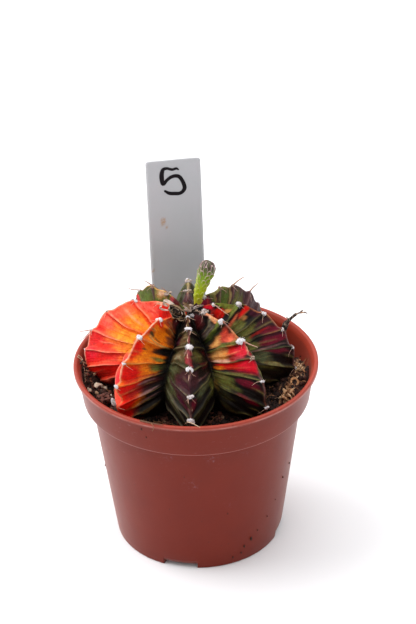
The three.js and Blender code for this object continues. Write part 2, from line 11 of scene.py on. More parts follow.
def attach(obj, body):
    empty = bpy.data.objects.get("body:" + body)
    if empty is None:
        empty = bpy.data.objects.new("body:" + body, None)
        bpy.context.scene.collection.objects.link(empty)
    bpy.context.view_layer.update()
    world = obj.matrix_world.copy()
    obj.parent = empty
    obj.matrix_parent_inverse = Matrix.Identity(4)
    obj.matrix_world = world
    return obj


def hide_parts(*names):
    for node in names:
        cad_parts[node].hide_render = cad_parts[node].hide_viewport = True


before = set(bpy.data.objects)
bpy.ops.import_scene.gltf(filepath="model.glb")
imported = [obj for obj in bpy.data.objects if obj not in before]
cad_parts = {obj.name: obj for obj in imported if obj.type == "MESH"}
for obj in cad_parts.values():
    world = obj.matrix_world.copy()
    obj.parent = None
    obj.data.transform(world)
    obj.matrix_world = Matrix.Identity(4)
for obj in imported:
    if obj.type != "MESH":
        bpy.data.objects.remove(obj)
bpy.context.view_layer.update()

MM = 0.001

# Pot, as in the solids
POT_HEIGHT = 52.0
RIM_RADIUS = 32.5
LIP_WIDTH = 1.0
LIP_DEPTH = 1.5
COLLAR_TOP_RADIUS = 31.5
COLLAR_BOTTOM_RADIUS = 30.25
COLLAR_DEPTH = 10.1
BODY_TOP_RADIUS = 28.2
FOOT_RADIUS = 22.75
WALL = 0.9
FOOT_WIDTH = 1.6
FLOOR_RISE = 1.8
FLOOR_THICKNESS = 1.0
FLOOR_TOP = FLOOR_RISE + FLOOR_THICKNESS
COLLAR_FOOT = POT_HEIGHT - COLLAR_DEPTH
NOTCH_WIDTH = 9.3
NOTCH_TOP = 1.7
NOTCH_AZIMUTH = 256
NOTCH_COUNT = 4

# Soil
GAP = 0.3
SOIL_DEPTH = 9.2
SOIL_LUMP = 0.55
SOIL_HEAPS = [(-20, -14, 3, 60), (-31.5, 1, 6.8, 45), (29.5, 1.5, 4.3, 130)]

# Plant, measured from a hub at rim level on the plant's own axis
PLANT_X = -1.83
KEEL = 0.2
CREST = 0.14
SCALLOP = 0.75
PLEAT = 0.72
UNDERSIDE = 146
CROWN_REACH = 14.2
ROOT_RADIUS = 5.4
ROOT_TOP = 11.6
ROOT_DEPTH = 17.5
EDGE_REACH = [
    (0, CROWN_REACH), (20, 17.9), (40, 21.9), (60, 25.2), (80, 27.5), (92, 28.4), (99, 28.2),
    (106, 26.2), (114, 23), (124, 18.5), (135, 15.2), (UNDERSIDE, 13),
]
VALLEY_REACH = [
    (0, CROWN_REACH), (20, 14), (40, 13.2), (58, 14.8), (75, 16.4), (90, 17.6), (105, 16.8),
    (120, 14.2), (135, 12.2), (UNDERSIDE, 11.8),
]
VALLEY_ANGLES = [0, 21, 36, 49.5, 61.5, 70.5, 81, 93, UNDERSIDE]
RIBS = [
    dict(name="E", azimuth=-0.8, areoles=[21.8, 38.7, 54.8, 70.4, 83, 96.4, 108], slant=0.2),
    dict(name="F", azimuth=43.1, areoles=[19, 34.7, 46.4, 63.8, 76.6, 90, 103]),
    dict(name="G", azimuth=88.5, areoles=[22.4, 36, 50, 63.9, 77, 91, 104], girth=0.8),
    dict(name="H", azimuth=131.2, areoles=[24, 39.6, 55.8, 69, 82, 95, 107], girth=0.93),
    dict(name="A", azimuth=169.2, areoles=[22, 39, 58.5, 75, 88.6, 97.4, 108], shoulder=0.45, swing=5.5),
    dict(name="B", azimuth=226.2, areoles=[16, 31.5, 50.5, 67, 80.5, 91, 103], dip=1.8, notch=1.5, swing=3),
    dict(name="C", azimuth=270.4, areoles=[20, 36.4, 50.3, 63.7, 78.4, 91.6, 104], wobble=0.4),
    dict(name="D", azimuth=314.2, areoles=[20, 36.2, 54.4, 65.9, 79.5, 95.2, 107], slant=0.34, crumple=0.75),
]
WOOLLY_AREOLES = 6

# Camera, found from the pot's rim, collar and foot in the photograph
CAMERA_DISTANCE = 500
CAMERA_ELEVATION = 31.98
CAMERA_PITCH = 30.55
CAMERA_YAW = 0.47
CAMERA_ROLL = -1.15
CAMERA_LENS = 108.71


def smoothstep(x, low, high):
    f = np.clip((np.asarray(x, float) - low) / (high - low), 0, 1)
    return f * f * (3 - 2 * f)


def curve_at(knots, x):
    """Height of a smooth curve through the knots, which are (x, height) pairs."""
    table = np.array(knots, float)
    x = np.asarray(x, float)
    k = np.clip(np.searchsorted(table[:, 0], x) - 1, 0, len(table) - 2)
    before = table[np.maximum(k - 1, 0)]
    start = table[k]
    end = table[k + 1]
    after = table[np.minimum(k + 2, len(table) - 1)]
    span = end[..., 0] - start[..., 0]
    f = np.clip((x - start[..., 0]) / span, 0, 1)
    slope0 = (end[..., 1] - before[..., 1]) / (end[..., 0] - before[..., 0])
    slope1 = (after[..., 1] - start[..., 1]) / (after[..., 0] - start[..., 0])
    rise = start[..., 1] * (1 + 2 * f) * (1 - f) ** 2 + end[..., 1] * f * f * (3 - 2 * f)
    return rise + span * (slope0 * f * (1 - f) ** 2 - slope1 * f * f * (1 - f))


def between(table, place):
    """Cell of a table's last axis that holds a fractional place, and how far into it the place is."""
    k = np.clip(np.floor(place).astype(int), 0, table.shape[-1] - 2)
    return k, place - k


def noise(points, size, seed=0):
    """Smooth noise from 0 to 1, with lumps of about the given size."""
    p = np.asarray(points, float) / size + 91.7 * (seed + 1)
    cell = np.floor(p).astype(np.int64)
    f = p - cell
    f = f * f * (3 - 2 * f)
    total = np.zeros(p.shape[:-1])
    for corner in range(8):
        step = np.array([corner & 1, corner >> 1 & 1, corner >> 2 & 1])
        at = cell + step
        hashed = at[..., 0] * 374761393 + at[..., 1] * 668265263 + at[..., 2] * 1103515245
        hashed = (hashed + seed * 40503) & 0xFFFFFFFF
        hashed = ((hashed ^ (hashed >> 13)) * 1274126177) & 0xFFFFFFFF
        value = ((hashed ^ (hashed >> 16)) & 0xFFFF) / 65535
        weight = np.prod(np.where(step == 1, f, 1 - f), axis=-1)
        total += value * weight
    return total


def fractal(points, size, octaves=3, seed=0):
    total = 0
    share = 0
    for octave in range(octaves):
        weight = 0.55 ** octave
        total = total + weight * noise(points, size / 2 ** octave, seed + 7 * octave)
        share += weight
    return total / share


def srgb(red, green, blue):
    """Linear colour from a colour given in the 0 to 255 of a screen."""
    values = np.array([red, green, blue]) / 255
    linear = np.where(values < 0.04045, values / 12.92, ((values + 0.055) / 1.055) ** 2.4)
    return (*linear, 1.0)


def from_rim(places):
    """Places given from the pot's axis and its rim, in the frame of the part."""
    return np.array(places) + [0, 0, POT_HEIGHT]


def circle(count):
    """Even steps round a circle, in radians."""
    return np.linspace(0, 2 * math.pi, count, endpoint=False)


def crossed(first, second):
    """Two tables that hold every value of the first with every value of the second."""
    return np.meshgrid(first, second, indexing="ij")


def spun(points, turn):
    """Points turned about Z."""
    c, s = math.cos(turn), math.sin(turn)
    return points @ np.array([[c, s, 0], [-s, c, 0], [0, 0, 1]])


# Meshes
def mesh_object(name, points, faces, colours=None, masks=None):
    """Object from points in millimetres. Colours and masks become point attributes for its material."""
    mesh = bpy.data.meshes.new(name)
    mesh.from_pydata((np.asarray(points, float) * MM).tolist(), [], faces)
    if colours is not None:
        layer = mesh.attributes.new("tint", "FLOAT_COLOR", "POINT")
        layer.data.foreach_set("color", np.asarray(colours, np.float32).ravel())
    for key, values in (masks or {}).items():
        layer = mesh.attributes.new(key, "FLOAT", "POINT")
        layer.data.foreach_set("value", np.asarray(values, np.float32).ravel())
    mesh.validate()
    mesh.update()
    mesh.shade_smooth()
    made = bpy.data.objects.new(name, mesh)
    bpy.context.scene.collection.objects.link(made)
    return made


def finish_piece(piece, finish, node_name):
    """Dress a piece, tie it to the one body and let it stand for a node of the solids."""
    piece.data.materials.append(finish)
    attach(piece, "root")
    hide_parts(node_name)


def grid_faces(rows, columns, first=0):
    """Quads of a grid of points whose columns go round, listed row by row from the top."""
    faces = []
    for r in range(rows - 1):
        for c in range(columns):
            d = (c + 1) % columns
            a = first + r * columns
            b = a + columns
            faces.append((a + c, b + c, b + d, a + d))
    return faces


def cap_faces(tip, first, columns, below=False):
    """Triangles from a tip to the ring of points that starts at the given one."""
    ring = [(tip, first + c, first + (c + 1) % columns) for c in range(columns)]
    return [tuple(reversed(face)) for face in ring] if below else ring


def sheet_faces(rows, columns):
    """Faces of a thin sheet: its front grid, its back grid and the band round its edge."""
    count = rows * columns
    faces = []
    for r in range(rows - 1):
        for c in range(columns - 1):
            a = r * columns + c
            faces.append((a, a + 1, a + columns + 1, a + columns))
            faces.append((count + a, count + a + columns, count + a + columns + 1, count + a + 1))
    rim = list(range(columns)) + [r * columns + columns - 1 for r in range(1, rows)]
    rim += [(rows - 1) * columns + c for c in range(columns - 2, -1, -1)]
    rim += [r * columns for r in range(rows - 2, 0, -1)]
    faces += [(b, a, count + a, count + b) for a, b in zip(rim, rim[1:] + rim[:1])]
    return faces


def tube_faces(rows, columns):
    """Faces of rings of points, closed by a point at each end; these two points come last."""
    faces = [tuple(reversed(face)) for face in grid_faces(rows, columns)]
    low = rows * columns
    faces += cap_faces(low, 0, columns, below=True)
    return faces + cap_faces(low + 1, low - columns, columns)


def both_sides(front, back):
    """Points of a thin sheet: its front, then its back."""
    return np.vstack([front.reshape(-1, 3), back.reshape(-1, 3)])


class Heap:
    """Many small shapes gathered into one mesh, each with its own shade from 0 to 1."""

    def __init__(self):
        self.points = []
        self.faces = []
        self.shades = []

    def add(self, points, faces, shade=0.5):
        first = sum(len(p) for p in self.points)
        self.points.append(np.asarray(points, float))
        self.faces += [tuple(first + i for i in face) for face in faces]
        self.shades.append(np.broadcast_to(np.asarray(shade, float), (len(points),)))

    def build(self, name):
        points = np.concatenate(self.points)
        return mesh_object(name, points, self.faces, masks={"shade": np.concatenate(self.shades)})


def frame_of(direction):
    """Two directions across the given one."""
    w = np.asarray(direction, float)
    w = w / np.linalg.norm(w)
    helper = np.array([0.0, 0.0, 1.0]) if abs(w[2]) < 0.9 else np.array([1.0, 0.0, 0.0])
    u = np.cross(helper, w)
    u /= np.linalg.norm(u)
    return u, np.cross(w, u), w


def smooth_path(points, steps):
    """Evenly spaced points on a smooth curve through the given points."""
    p = np.asarray(points, float)
    p = np.vstack([2 * p[0] - p[1], p, 2 * p[-1] - p[-2]])
    out = []
    for i in range(1, len(p) - 2):
        for s in np.linspace(0, 1, steps, endpoint=False):
            a = 2 * p[i]
            b = (p[i + 1] - p[i - 1]) * s
            c = (2 * p[i - 1] - 5 * p[i] + 4 * p[i + 1] - p[i + 2]) * s ** 2
            d = (3 * p[i] - p[i - 1] - 3 * p[i + 1] + p[i + 2]) * s ** 3
            out.append((a + b + c + d) / 2)
    out.append(p[-2])
    return np.array(out)


def rod(path, radii, sides):
    """Points and faces of a round rod along a path, closed at both ends."""
    path = np.asarray(path, float)
    radii = np.broadcast_to(np.asarray(radii, float), (len(path),))
    turns = circle(sides)
    tangents = np.gradient(path, axis=0)
    u, _, _ = frame_of(tangents[0])
    rings = []
    for place, tangent, radius in zip(path, tangents, radii):
        w = tangent / np.linalg.norm(tangent)
        u = u - w * (u @ w)
        u /= np.linalg.norm(u)
        v = np.cross(w, u)
        rings.append(place + radius * (np.outer(np.cos(turns), u) + np.outer(np.sin(turns), v)))
    return np.vstack([*rings, path[0], path[-1]]), tube_faces(len(path), sides)


_balls = {}


def ball(detail):
    """Points and faces of a unit sphere of even triangles."""
    if detail not in _balls:
        shape = bmesh.new()
        bmesh.ops.create_icosphere(shape, subdivisions=detail, radius=1)
        points = np.array([v.co for v in shape.verts])
        faces = [tuple(v.index for v in f.verts) for f in shape.faces]
        shape.free()
        _balls[detail] = (points, faces)
    return _balls[detail]


def lump(half, turn, detail, roughness, seed):
    """Rough stone-like blob about the origin."""
    points, faces = ball(detail)
    swell = 1 + roughness * (fractal(points * 1.5, 0.9, 4, seed) - 0.5) * 2
    return spun(points * swell[:, None] * np.array(half), turn), faces


# Materials
def node(tree, kind, settings=None, **inputs):
    made = tree.nodes.new("ShaderNode" + kind)
    for key, value in (settings or {}).items():
        setattr(made, key, value)
    for key, value in inputs.items():
        socket = made.inputs[key.replace("_", " ")]
        if isinstance(value, bpy.types.NodeSocket):
            tree.links.new(value, socket)
        else:
            socket.default_value = value
    return made


def put(tree, value, socket):
    if isinstance(value, bpy.types.NodeSocket):
        tree.links.new(value, socket)
    else:
        socket.default_value = value


def blend(tree, factor, a, b, mode="MIX"):
    made = tree.nodes.new("ShaderNodeMix")
    made.data_type = "RGBA"
    made.blend_type = mode
    made.clamp_factor = True
    put(tree, factor, made.inputs[0])
    put(tree, a, made.inputs[6])
    put(tree, b, made.inputs[7])
    return made.outputs[2]


def maths(tree, kind, a, b=0.0):
    made = tree.nodes.new("ShaderNodeMath")
    made.operation = kind
    put(tree, a, made.inputs[0])
    put(tree, b, made.inputs[1])
    return made.outputs[0]


def times(tree, a, b):
    return maths(tree, "MULTIPLY", a, b)


def remap(tree, value, low, high, to_low=0.0, to_high=1.0):
    made = tree.nodes.new("ShaderNodeMapRange")
    made.interpolation_type = "SMOOTHSTEP"
    for index, number in enumerate((value, low, high, to_low, to_high)):
        put(tree, number, made.inputs[index])
    return made.outputs[0]


def overlaid(tree, base, colour, value, low, high, to_low=0.0, to_high=1.0):
    """A base colour that another one takes over where a value rises from low to high."""
    return blend(tree, remap(tree, value, low, high, to_low, to_high), base, srgb(*colour))


def place(tree):
    return tree.nodes.new("ShaderNodeTexCoord").outputs["Object"]


def grain(tree, size_mm, detail=4, roughness=0.55, stretch=(1, 1, 1)):
    """Noise with lumps of about the given size."""
    spot = place(tree)
    if stretch != (1, 1, 1):
        spot = node(tree, "Mapping", Vector=spot, Scale=stretch).outputs[0]
    scale = 1 / (size_mm * MM)
    made = node(tree, "TexNoise", Vector=spot, Scale=scale, Detail=detail, Roughness=roughness)
    return made.outputs["Fac"]


def cells(tree, size_mm):
    return node(tree, "TexVoronoi", Vector=place(tree), Scale=1 / (size_mm * MM)).outputs["Distance"]


def mask(tree, name, output="Fac"):
    """Value that mesh_object stored at the points."""
    return node(tree, "Attribute", {"attribute_name": name}).outputs[output]


def bump(tree, height, depth_mm, below=None):
    made = node(tree, "Bump", Height=height, Distance=depth_mm * MM, Strength=1.0)
    if below is not None:
        tree.links.new(below, made.inputs["Normal"])
    return made.outputs[0]


def material(name, shade):
    """Material whose shader inputs come from shade(tree)."""
    made = bpy.data.materials.new(name)
    made.use_nodes = True
    tree = made.node_tree
    shader = tree.nodes["Principled BSDF"]
    for key, value in shade(tree).items():
        put(tree, value, shader.inputs[key])
    return made


# Pale smudges on the pot: place, reach in millimetres, strength
POT_SMUDGES = [
    ((16.5, -24.5, 40.0), 1.6, 1.0), ((-8.0, -28.0, 39.2), 2.2, 0.7), ((3.5, -28.8, 39.0), 2.6, 0.7),
    ((12.5, -26.0, 38.6), 2.0, 0.5), ((-2.0, -28.0, 30.0), 3.5, 0.35), ((9.0, -27.0, 22.0), 4.0, 0.3),
]


def shade_pot(tree):
    spot = place(tree)
    parts = node(tree, "SeparateXYZ", Vector=spot)
    height = parts.outputs["Z"]
    cloud = grain(tree, 9, 3)
    base = blend(tree, cloud, srgb(102, 25, 10), srgb(116, 32, 13))
    lip = times(tree, remap(tree, height, (POT_HEIGHT - 1.3) * MM, (POT_HEIGHT - 0.5) * MM), 0.8)
    base = blend(tree, lip, base, srgb(158, 66, 52))
    inside = mask(tree, "inside")
    base = blend(tree, times(tree, inside, 0.8), base, srgb(138, 42, 24))
    scuffs = remap(tree, grain(tree, 1.6, 6, 0.7, (1, 1, 2.4)), 0.6, 0.74)
    band = remap(tree, height, (COLLAR_FOOT - 9) * MM, (COLLAR_FOOT - 1) * MM, 0.15, 0.8)
    scuffs = times(tree, times(tree, scuffs, band), 0.34)
    base = blend(tree, scuffs, base, srgb(176, 140, 140))
    for at, reach, strength in POT_SMUDGES:
        away = node(tree, "VectorMath", {"operation": "DISTANCE"}, Vector=spot).outputs["Value"]
        away.node.inputs[1].default_value = Vector(at) * MM
        shown = remap(tree, away, reach * MM, 0.1 * reach * MM, 0, 0.6 * strength)
        mark = times(tree, shown, remap(tree, grain(tree, 0.8, 5, 0.7), 0.5, 0.7))
        base = blend(tree, mark, base, srgb(178, 160, 176))
    # Painted highlight: a thin pale line along the collar's foot
    off = maths(tree, "ABSOLUTE", maths(tree, "SUBTRACT", height, (COLLAR_FOOT + 0.1) * MM))
    step_highlight = remap(tree, off, 0.35 * MM, 0.1 * MM, 0, 0.3)
    base = blend(tree, step_highlight, base, srgb(190, 120, 112))
    # Painted highlight: a thin pale line round the outside of the lip, broken up by noise
    off = maths(tree, "ABSOLUTE", maths(tree, "SUBTRACT", height, (POT_HEIGHT - 0.8) * MM))
    outside = maths(tree, "SUBTRACT", 1.0, inside)
    lip_highlight = times(tree, remap(tree, off, 0.3 * MM, 0.08 * MM, 0, 0.36), outside)
    lip_highlight = times(tree, lip_highlight, remap(tree, grain(tree, 5, 3), 0.35, 0.6, 0.3, 1.0))
    base = blend(tree, lip_highlight, base, srgb(206, 160, 152))
    lit = times(tree, remap(tree, parts.outputs["X"], 24 * MM, 30 * MM, 0, 0.4), inside)
    base = blend(tree, lit, base, srgb(186, 66, 44))
    specks = remap(tree, cells(tree, 3.1), 0.1, 0.055)
    base = blend(tree, times(tree, specks, 0.35), base, srgb(60, 30, 24))
    rough = maths(tree, "ADD", times(tree, grain(tree, 4, 4), 0.12), 0.3)
    rough = maths(tree, "ADD", rough, times(tree, scuffs, 0.6))
    waves = grain(tree, 6, 2, 0.4, (1, 1, 0.35))
    fine = grain(tree, 0.35, 3)
    normal = bump(tree, fine, 0.008, bump(tree, waves, 0.05))
    return {
        "Base Color": base, "Roughness": rough, "Normal": normal, "Specular IOR Level": 0.17,
        "Sheen Weight": 0.1, "Sheen Roughness": 0.45, "Sheen Tint": (1.0, 0.6, 0.5, 1.0),
        "Subsurface Weight": 0.05, "Subsurface Radius": (1.0, 0.25, 0.12), "Subsurface Scale": 0.002,
    }


def pleat_grain(tree, along, across, shift):
    """Noise drawn out along the pleats of the skin."""
    parts = [("fold", along), ("across", across), ("flank", 11.0)]
    x, y, z = (times(tree, mask(tree, name), size) for name, size in parts)
    spot = node(tree, "CombineXYZ", X=x, Y=y, Z=maths(tree, "ADD", z, shift)).outputs[0]
    return node(tree, "TexNoise", Vector=spot, Scale=1.0, Detail=4, Roughness=0.62).outputs["Fac"]


def shade_skin(tree):
    tint = mask(tree, "tint", "Color")
    darker = blend(tree, 1.0, tint, srgb(230, 204, 196), "MULTIPLY")
    base = blend(tree, remap(tree, grain(tree, 1.3, 5, 0.65), 0.36, 0.6), darker, tint)
    dark_streaks = remap(tree, pleat_grain(tree, 8, 2.4, 0.3), 0.5, 0.68, 0.0, 0.36)
    base = blend(tree, dark_streaks, base, blend(tree, 1.0, base, srgb(190, 120, 112), "MULTIPLY"))
    pale_streaks = remap(tree, pleat_grain(tree, 11, 2.0, 5.7), 0.52, 0.7, 0.0, 0.55)
    glow = blend(tree, 1.0, base, srgb(255, 232, 206), "SOFT_LIGHT")
    base = blend(tree, pale_streaks, base, blend(tree, 0.32, glow, tint, "SCREEN"))
    dots = remap(tree, grain(tree, 0.28, 3, 0.5), 0.54, 0.68, 0.0, 0.6)
    base = blend(tree, dots, base, blend(tree, 1.0, base, srgb(255, 232, 206), "SOFT_LIGHT"))
    pits = remap(tree, grain(tree, 0.4, 4, 0.6), 0.56, 0.7, 0.0, 0.4)
    base = blend(tree, pits, base, blend(tree, 1.0, base, srgb(196, 132, 132), "MULTIPLY"))
    rough = remap(tree, grain(tree, 0.8, 4), 0.3, 0.7, 0.36, 0.54)
    normal = bump(tree, pleat_grain(tree, 9, 2, 2.2), 0.26, bump(tree, grain(tree, 0.9, 4, 0.6), 0.14))
    normal = bump(tree, cells(tree, 0.16), 0.012, normal)
    return {
        "Base Color": base, "Roughness": rough, "Normal": normal, "Specular IOR Level": 0.13,
        "Subsurface Weight": 0.08, "Subsurface Radius": (1.0, 0.32, 0.15), "Subsurface Scale": 0.0012,
    }


def shade_wool(tree):
    shade = mask(tree, "shade")
    base = blend(tree, remap(tree, shade, 0.0, 0.85), srgb(186, 152, 120), srgb(228, 224, 228))
    greyer = blend(tree, 0.4, base, srgb(132, 120, 120))
    base = blend(tree, remap(tree, grain(tree, 0.35, 4), 0.4, 0.62), greyer, base)
    # Painted shade: dark brown flecks on the cream wool stand for the shade in its holes
    brown = times(tree, remap(tree, shade, 0.75, 0.3), remap(tree, grain(tree, 0.3, 4, 0.6), 0.46, 0.58))
    base = blend(tree, times(tree, brown, 0.8), base, srgb(84, 50, 40))
    normal = bump(tree, grain(tree, 0.16, 4, 0.7), 0.16)
    return {
        "Base Color": base, "Roughness": 1.0, "Normal": normal, "Specular IOR Level": 0.15,
        "Sheen Weight": 0.3, "Sheen Roughness": 0.6,
    }


def shade_spine(tree):
    shade = mask(tree, "shade")
    base = blend(tree, shade, srgb(214, 168, 140), srgb(128, 74, 62))
    base = overlaid(tree, base, (236, 206, 186), grain(tree, 0.4, 3), 0.4, 0.6, 0, 0.35)
    return {"Base Color": base, "Roughness": 0.6}


# Wide soft light from the upper left, and a large pale floor
KEY_STRENGTH = 1.5
KEY_ANGLE = 42
KEY_FROM = (-0.62, 0.12, 0.8)
FLOOR_RADIUS_METRES = 12
FLOOR_COLOUR = (0.84, 0.84, 0.855, 1)


def world_light():
    world = bpy.data.worlds.new("studio")
    bpy.context.scene.world = world
    world.use_nodes = True
    tree = world.node_tree
    tree.nodes.clear()
    direction = node(tree, "TexCoord").outputs["Generated"]
    parts = node(tree, "SeparateXYZ", Vector=direction)
    up = remap(tree, parts.outputs["Z"], -0.1, 0.95)
    back = remap(tree, parts.outputs["Y"], -0.55, 0.45)
    left = remap(tree, times(tree, parts.outputs["X"], -1.0), -0.6, 0.9)
    sides = maths(tree, "ADD", times(tree, left, 0.66), 0.31)
    level = times(tree, sides, maths(tree, "ADD", times(tree, back, 0.85), 0.15))
    level = maths(tree, "ADD", times(tree, level, 1.2), times(tree, up, 1.35))
    shader = node(tree, "Background", Color=(1, 1, 1, 1), Strength=level)
    out = node(tree, "OutputWorld")
    tree.links.new(shader.outputs[0], out.inputs["Surface"])


def key_light():
    light = bpy.data.lights.new("key", "SUN")
    light.energy = KEY_STRENGTH
    light.angle = math.radians(KEY_ANGLE)
    made = bpy.data.objects.new("key", light)
    made.rotation_euler = Vector(KEY_FROM).to_track_quat("Z", "Y").to_euler()
    bpy.context.scene.collection.objects.link(made)


def shade_floor(tree):
    return {"Base Color": FLOOR_COLOUR, "Roughness": 0.9, "Specular IOR Level": 0.1}


def make_floor():
    bpy.ops.mesh.primitive_circle_add(vertices=96, radius=FLOOR_RADIUS_METRES, fill_type="NGON")
    floor = bpy.context.object
    floor.name = "floor"
    floor.data.materials.append(material("floor_paper", shade_floor))


def make_camera():
    pitch, yaw, roll = (math.radians(v) for v in (CAMERA_PITCH, CAMERA_YAW, CAMERA_ROLL))
    ahead = Vector((math.sin(yaw) * math.cos(pitch), math.cos(yaw) * math.cos(pitch), -math.sin(pitch)))
    level_right = Vector((math.cos(yaw), -math.sin(yaw), 0))
    level_up = level_right.cross(ahead)
    right = math.cos(roll) * level_right + math.sin(roll) * level_up
    up = -math.sin(roll) * level_right + math.cos(roll) * level_up
    data = bpy.data.cameras.new("camera")
    data.lens = CAMERA_LENS
    data.sensor_fit = "VERTICAL"
    data.sensor_height = 36
    data.clip_end = 100
    made = bpy.data.objects.new("camera", data)
    turn = math.radians(CAMERA_ELEVATION)
    back, rise = CAMERA_DISTANCE * math.cos(turn), CAMERA_DISTANCE * math.sin(turn)
    eye = Vector((0, -back, POT_HEIGHT + rise)) * MM
    made.matrix_world = Matrix.Translation(eye) @ Matrix((right, up, -ahead)).transposed().to_4x4()
    bpy.context.scene.collection.objects.link(made)
    bpy.context.scene.camera = made


# Pot
POT_INSIDE = [
    (RIM_RADIUS - LIP_WIDTH, POT_HEIGHT), (COLLAR_TOP_RADIUS - WALL, POT_HEIGHT - LIP_DEPTH),
    (COLLAR_BOTTOM_RADIUS - WALL, COLLAR_FOOT + WALL), (BODY_TOP_RADIUS - WALL, COLLAR_FOOT - 0.9),
    (FOOT_RADIUS - WALL, FLOOR_TOP + 0.9), (FOOT_RADIUS - 2 * WALL, FLOOR_TOP),
]
POT_OUTSIDE = [
    (FOOT_RADIUS - FOOT_WIDTH, FLOOR_RISE), (FOOT_RADIUS - FOOT_WIDTH, 0), (FOOT_RADIUS, 0),
    (BODY_TOP_RADIUS, COLLAR_FOOT - 0.5), (COLLAR_BOTTOM_RADIUS, COLLAR_FOOT),
    (COLLAR_TOP_RADIUS, POT_HEIGHT - LIP_DEPTH), (RIM_RADIUS, POT_HEIGHT - LIP_DEPTH + 0.15),
    (RIM_RADIUS, POT_HEIGHT),
]


def pot_inner_radius(z):
    heights = [height for _, height in reversed(POT_INSIDE)]
    radii = [radius for radius, _ in reversed(POT_INSIDE)]
    return np.interp(z, heights, radii)


def rounded(points, reach, steps=5):
    """Polyline with its inner corners rounded off."""
    p = np.asarray(points, float)
    out = [p[0]]
    for a, b, c in zip(p[:-2], p[1:-1], p[2:]):
        to_a, to_c = a - b, c - b
        cut = min(reach, np.linalg.norm(to_a) / 2.2, np.linalg.norm(to_c) / 2.2)
        start = b + to_a / np.linalg.norm(to_a) * cut
        end = b + to_c / np.linalg.norm(to_c) * cut
        for s in np.linspace(0, 1, steps):
            out.append((1 - s) ** 2 * start + 2 * s * (1 - s) * b + s * s * end)
    out.append(p[-1])
    return np.array(out)


def subdivided(points, longest):
    out = [points[0]]
    for a, b in zip(points[:-1], points[1:]):
        count = max(1, int(math.ceil(np.linalg.norm(b - a) / longest)))
        out += [a + (b - a) * (i + 1) / count for i in range(count)]
    return np.array(out)


def make_pot():
    outline = [(0, FLOOR_RISE), *POT_OUTSIDE, *POT_INSIDE, (0, FLOOR_TOP)]
    profile = subdivided(rounded(outline, 0.42), 2.5)[1:-1]
    half_notch = math.degrees(math.asin(NOTCH_WIDTH / 2 / FOOT_RADIUS))
    angles = [(a, False) for a in np.arange(0, 360, 1.5)]
    columns = []
    for i in range(NOTCH_COUNT):
        middle = (NOTCH_AZIMUTH + 360 * i / NOTCH_COUNT) % 360
        low, high = middle - half_notch, middle + half_notch
        angles = [(a, cut or low < a < high) for a, cut in angles]
        columns += [(low, False), (low + 1e-4, True), (high - 1e-4, True), (high, False)]
    columns = sorted(angles + columns)
    rings = []
    inside = []
    turned_in = profile[:, 1].argmax()
    for angle, cut in columns:
        a = math.radians(angle)
        z = np.where((profile[:, 1] < NOTCH_TOP) & cut, NOTCH_TOP, profile[:, 1])
        rings.append(np.stack([profile[:, 0] * math.cos(a), profile[:, 0] * math.sin(a), z], 1))
        inside.append((np.arange(len(profile)) > turned_in).astype(float))
    count, length = len(columns), len(profile)
    points = np.concatenate(rings)
    faces = []
    for c in range(count):
        d = (c + 1) % count
        for r in range(length - 1):
            faces.append((c * length + r, d * length + r, d * length + r + 1, c * length + r + 1))
    faces.append(tuple(reversed([c * length for c in range(count)])))
    faces.append(tuple(c * length + length - 1 for c in range(count)))
    pot = mesh_object("pot_shell", points, faces, masks={"inside": np.concatenate(inside)})
    tidy = bmesh.new()
    tidy.from_mesh(pot.data)
    bmesh.ops.remove_doubles(tidy, verts=tidy.verts, dist=2e-7)
    bmesh.ops.recalc_face_normals(tidy, faces=tidy.faces)
    tidy.to_mesh(pot.data)
    tidy.free()
    finish_piece(pot, material("pot_plastic", shade_pot), "pot")


# Plant
def rib_values(key, default=0):
    """One value of every rib."""
    return np.array([rib.get(key, default) for rib in RIBS])


RIB_COUNT = len(RIBS)
ANGLE_TABLE = np.array([[0, *rib["areoles"], UNDERSIDE] for rib in RIBS], float)
VALLEY_TABLE = np.array(VALLEY_ANGLES, float)
AZIMUTHS = rib_values("azimuth")
GIRTHS = rib_values("girth", 1)
SHOULDERS = rib_values("shoulder")
DIPS = rib_values("dip")
NOTCHES = rib_values("notch")
SWINGS = rib_values("swing")
SLANTS = rib_values("slant")
WOBBLES = rib_values("wobble", 0.15)
CRUMPLES = rib_values("crumple")
FOLD_WANDER = 0.2


def crease(f):
    """Swelling of the flank between two creases: a slow rise, a cord, then a sharp drop under it."""
    drop = 1 - 2 * smoothstep(f, 0.0, 0.14)
    rise = -1 + 1.55 * np.clip((f - 0.14) / 0.86, 0, 1) ** 1.5
    cord = 0.45 * np.exp(-((1 - f) / 0.045) ** 2)
    return np.where(f < 0.14, drop, rise + cord)


def inlet(f):
    """Inlet of the rib edge just above each areole."""
    slow = np.sin(math.pi / 2 * np.clip(f / 0.82, 0, 1)) ** 2
    fast = np.cos(math.pi / 2 * np.clip((f - 0.82) / 0.18, 0, 1)) ** 2
    return np.where(f < 0.82, slow, fast)


def fold_level(k, side, t, level):
    """Level along the folds of a flank: they wander, and on some ribs they slope down to the valley."""
    k, side, t, level = np.broadcast_arrays(k, side, np.asarray(t, float), np.asarray(level, float))
    slope = SLANTS[k] * (1 - t) * (1 - smoothstep(level, 3.4, 5))
    spots = np.stack([t * 2.4, level * 0.8, k * 13.0 + side * 5.0], -1)
    wander = (fractal(spots, 1.0, 2, 33) - 0.5) * 2 * np.sin(math.pi * np.clip(t, 0, 1)) ** 0.7
    return np.maximum(level - slope + FOLD_WANDER * wander, 0)


def fold_strength(k, side, t, level, seed):
    """How much of a fold there is at a place, from 0 to 1."""
    spots = np.stack([t * 1.7, level * 1.2, k * 17.0 + side * 3.0], -1)
    return fractal(spots, 1.0, 2, seed)


def edge_ripple(k, level, seed):
    """Unevenness along a rib's edge, from -1 to 1."""
    spots = np.stack([level * 3.4, k * 7.0, 0 * level], -1)
    return (fractal(spots, 1.0, 3, seed) - 0.5) * 2


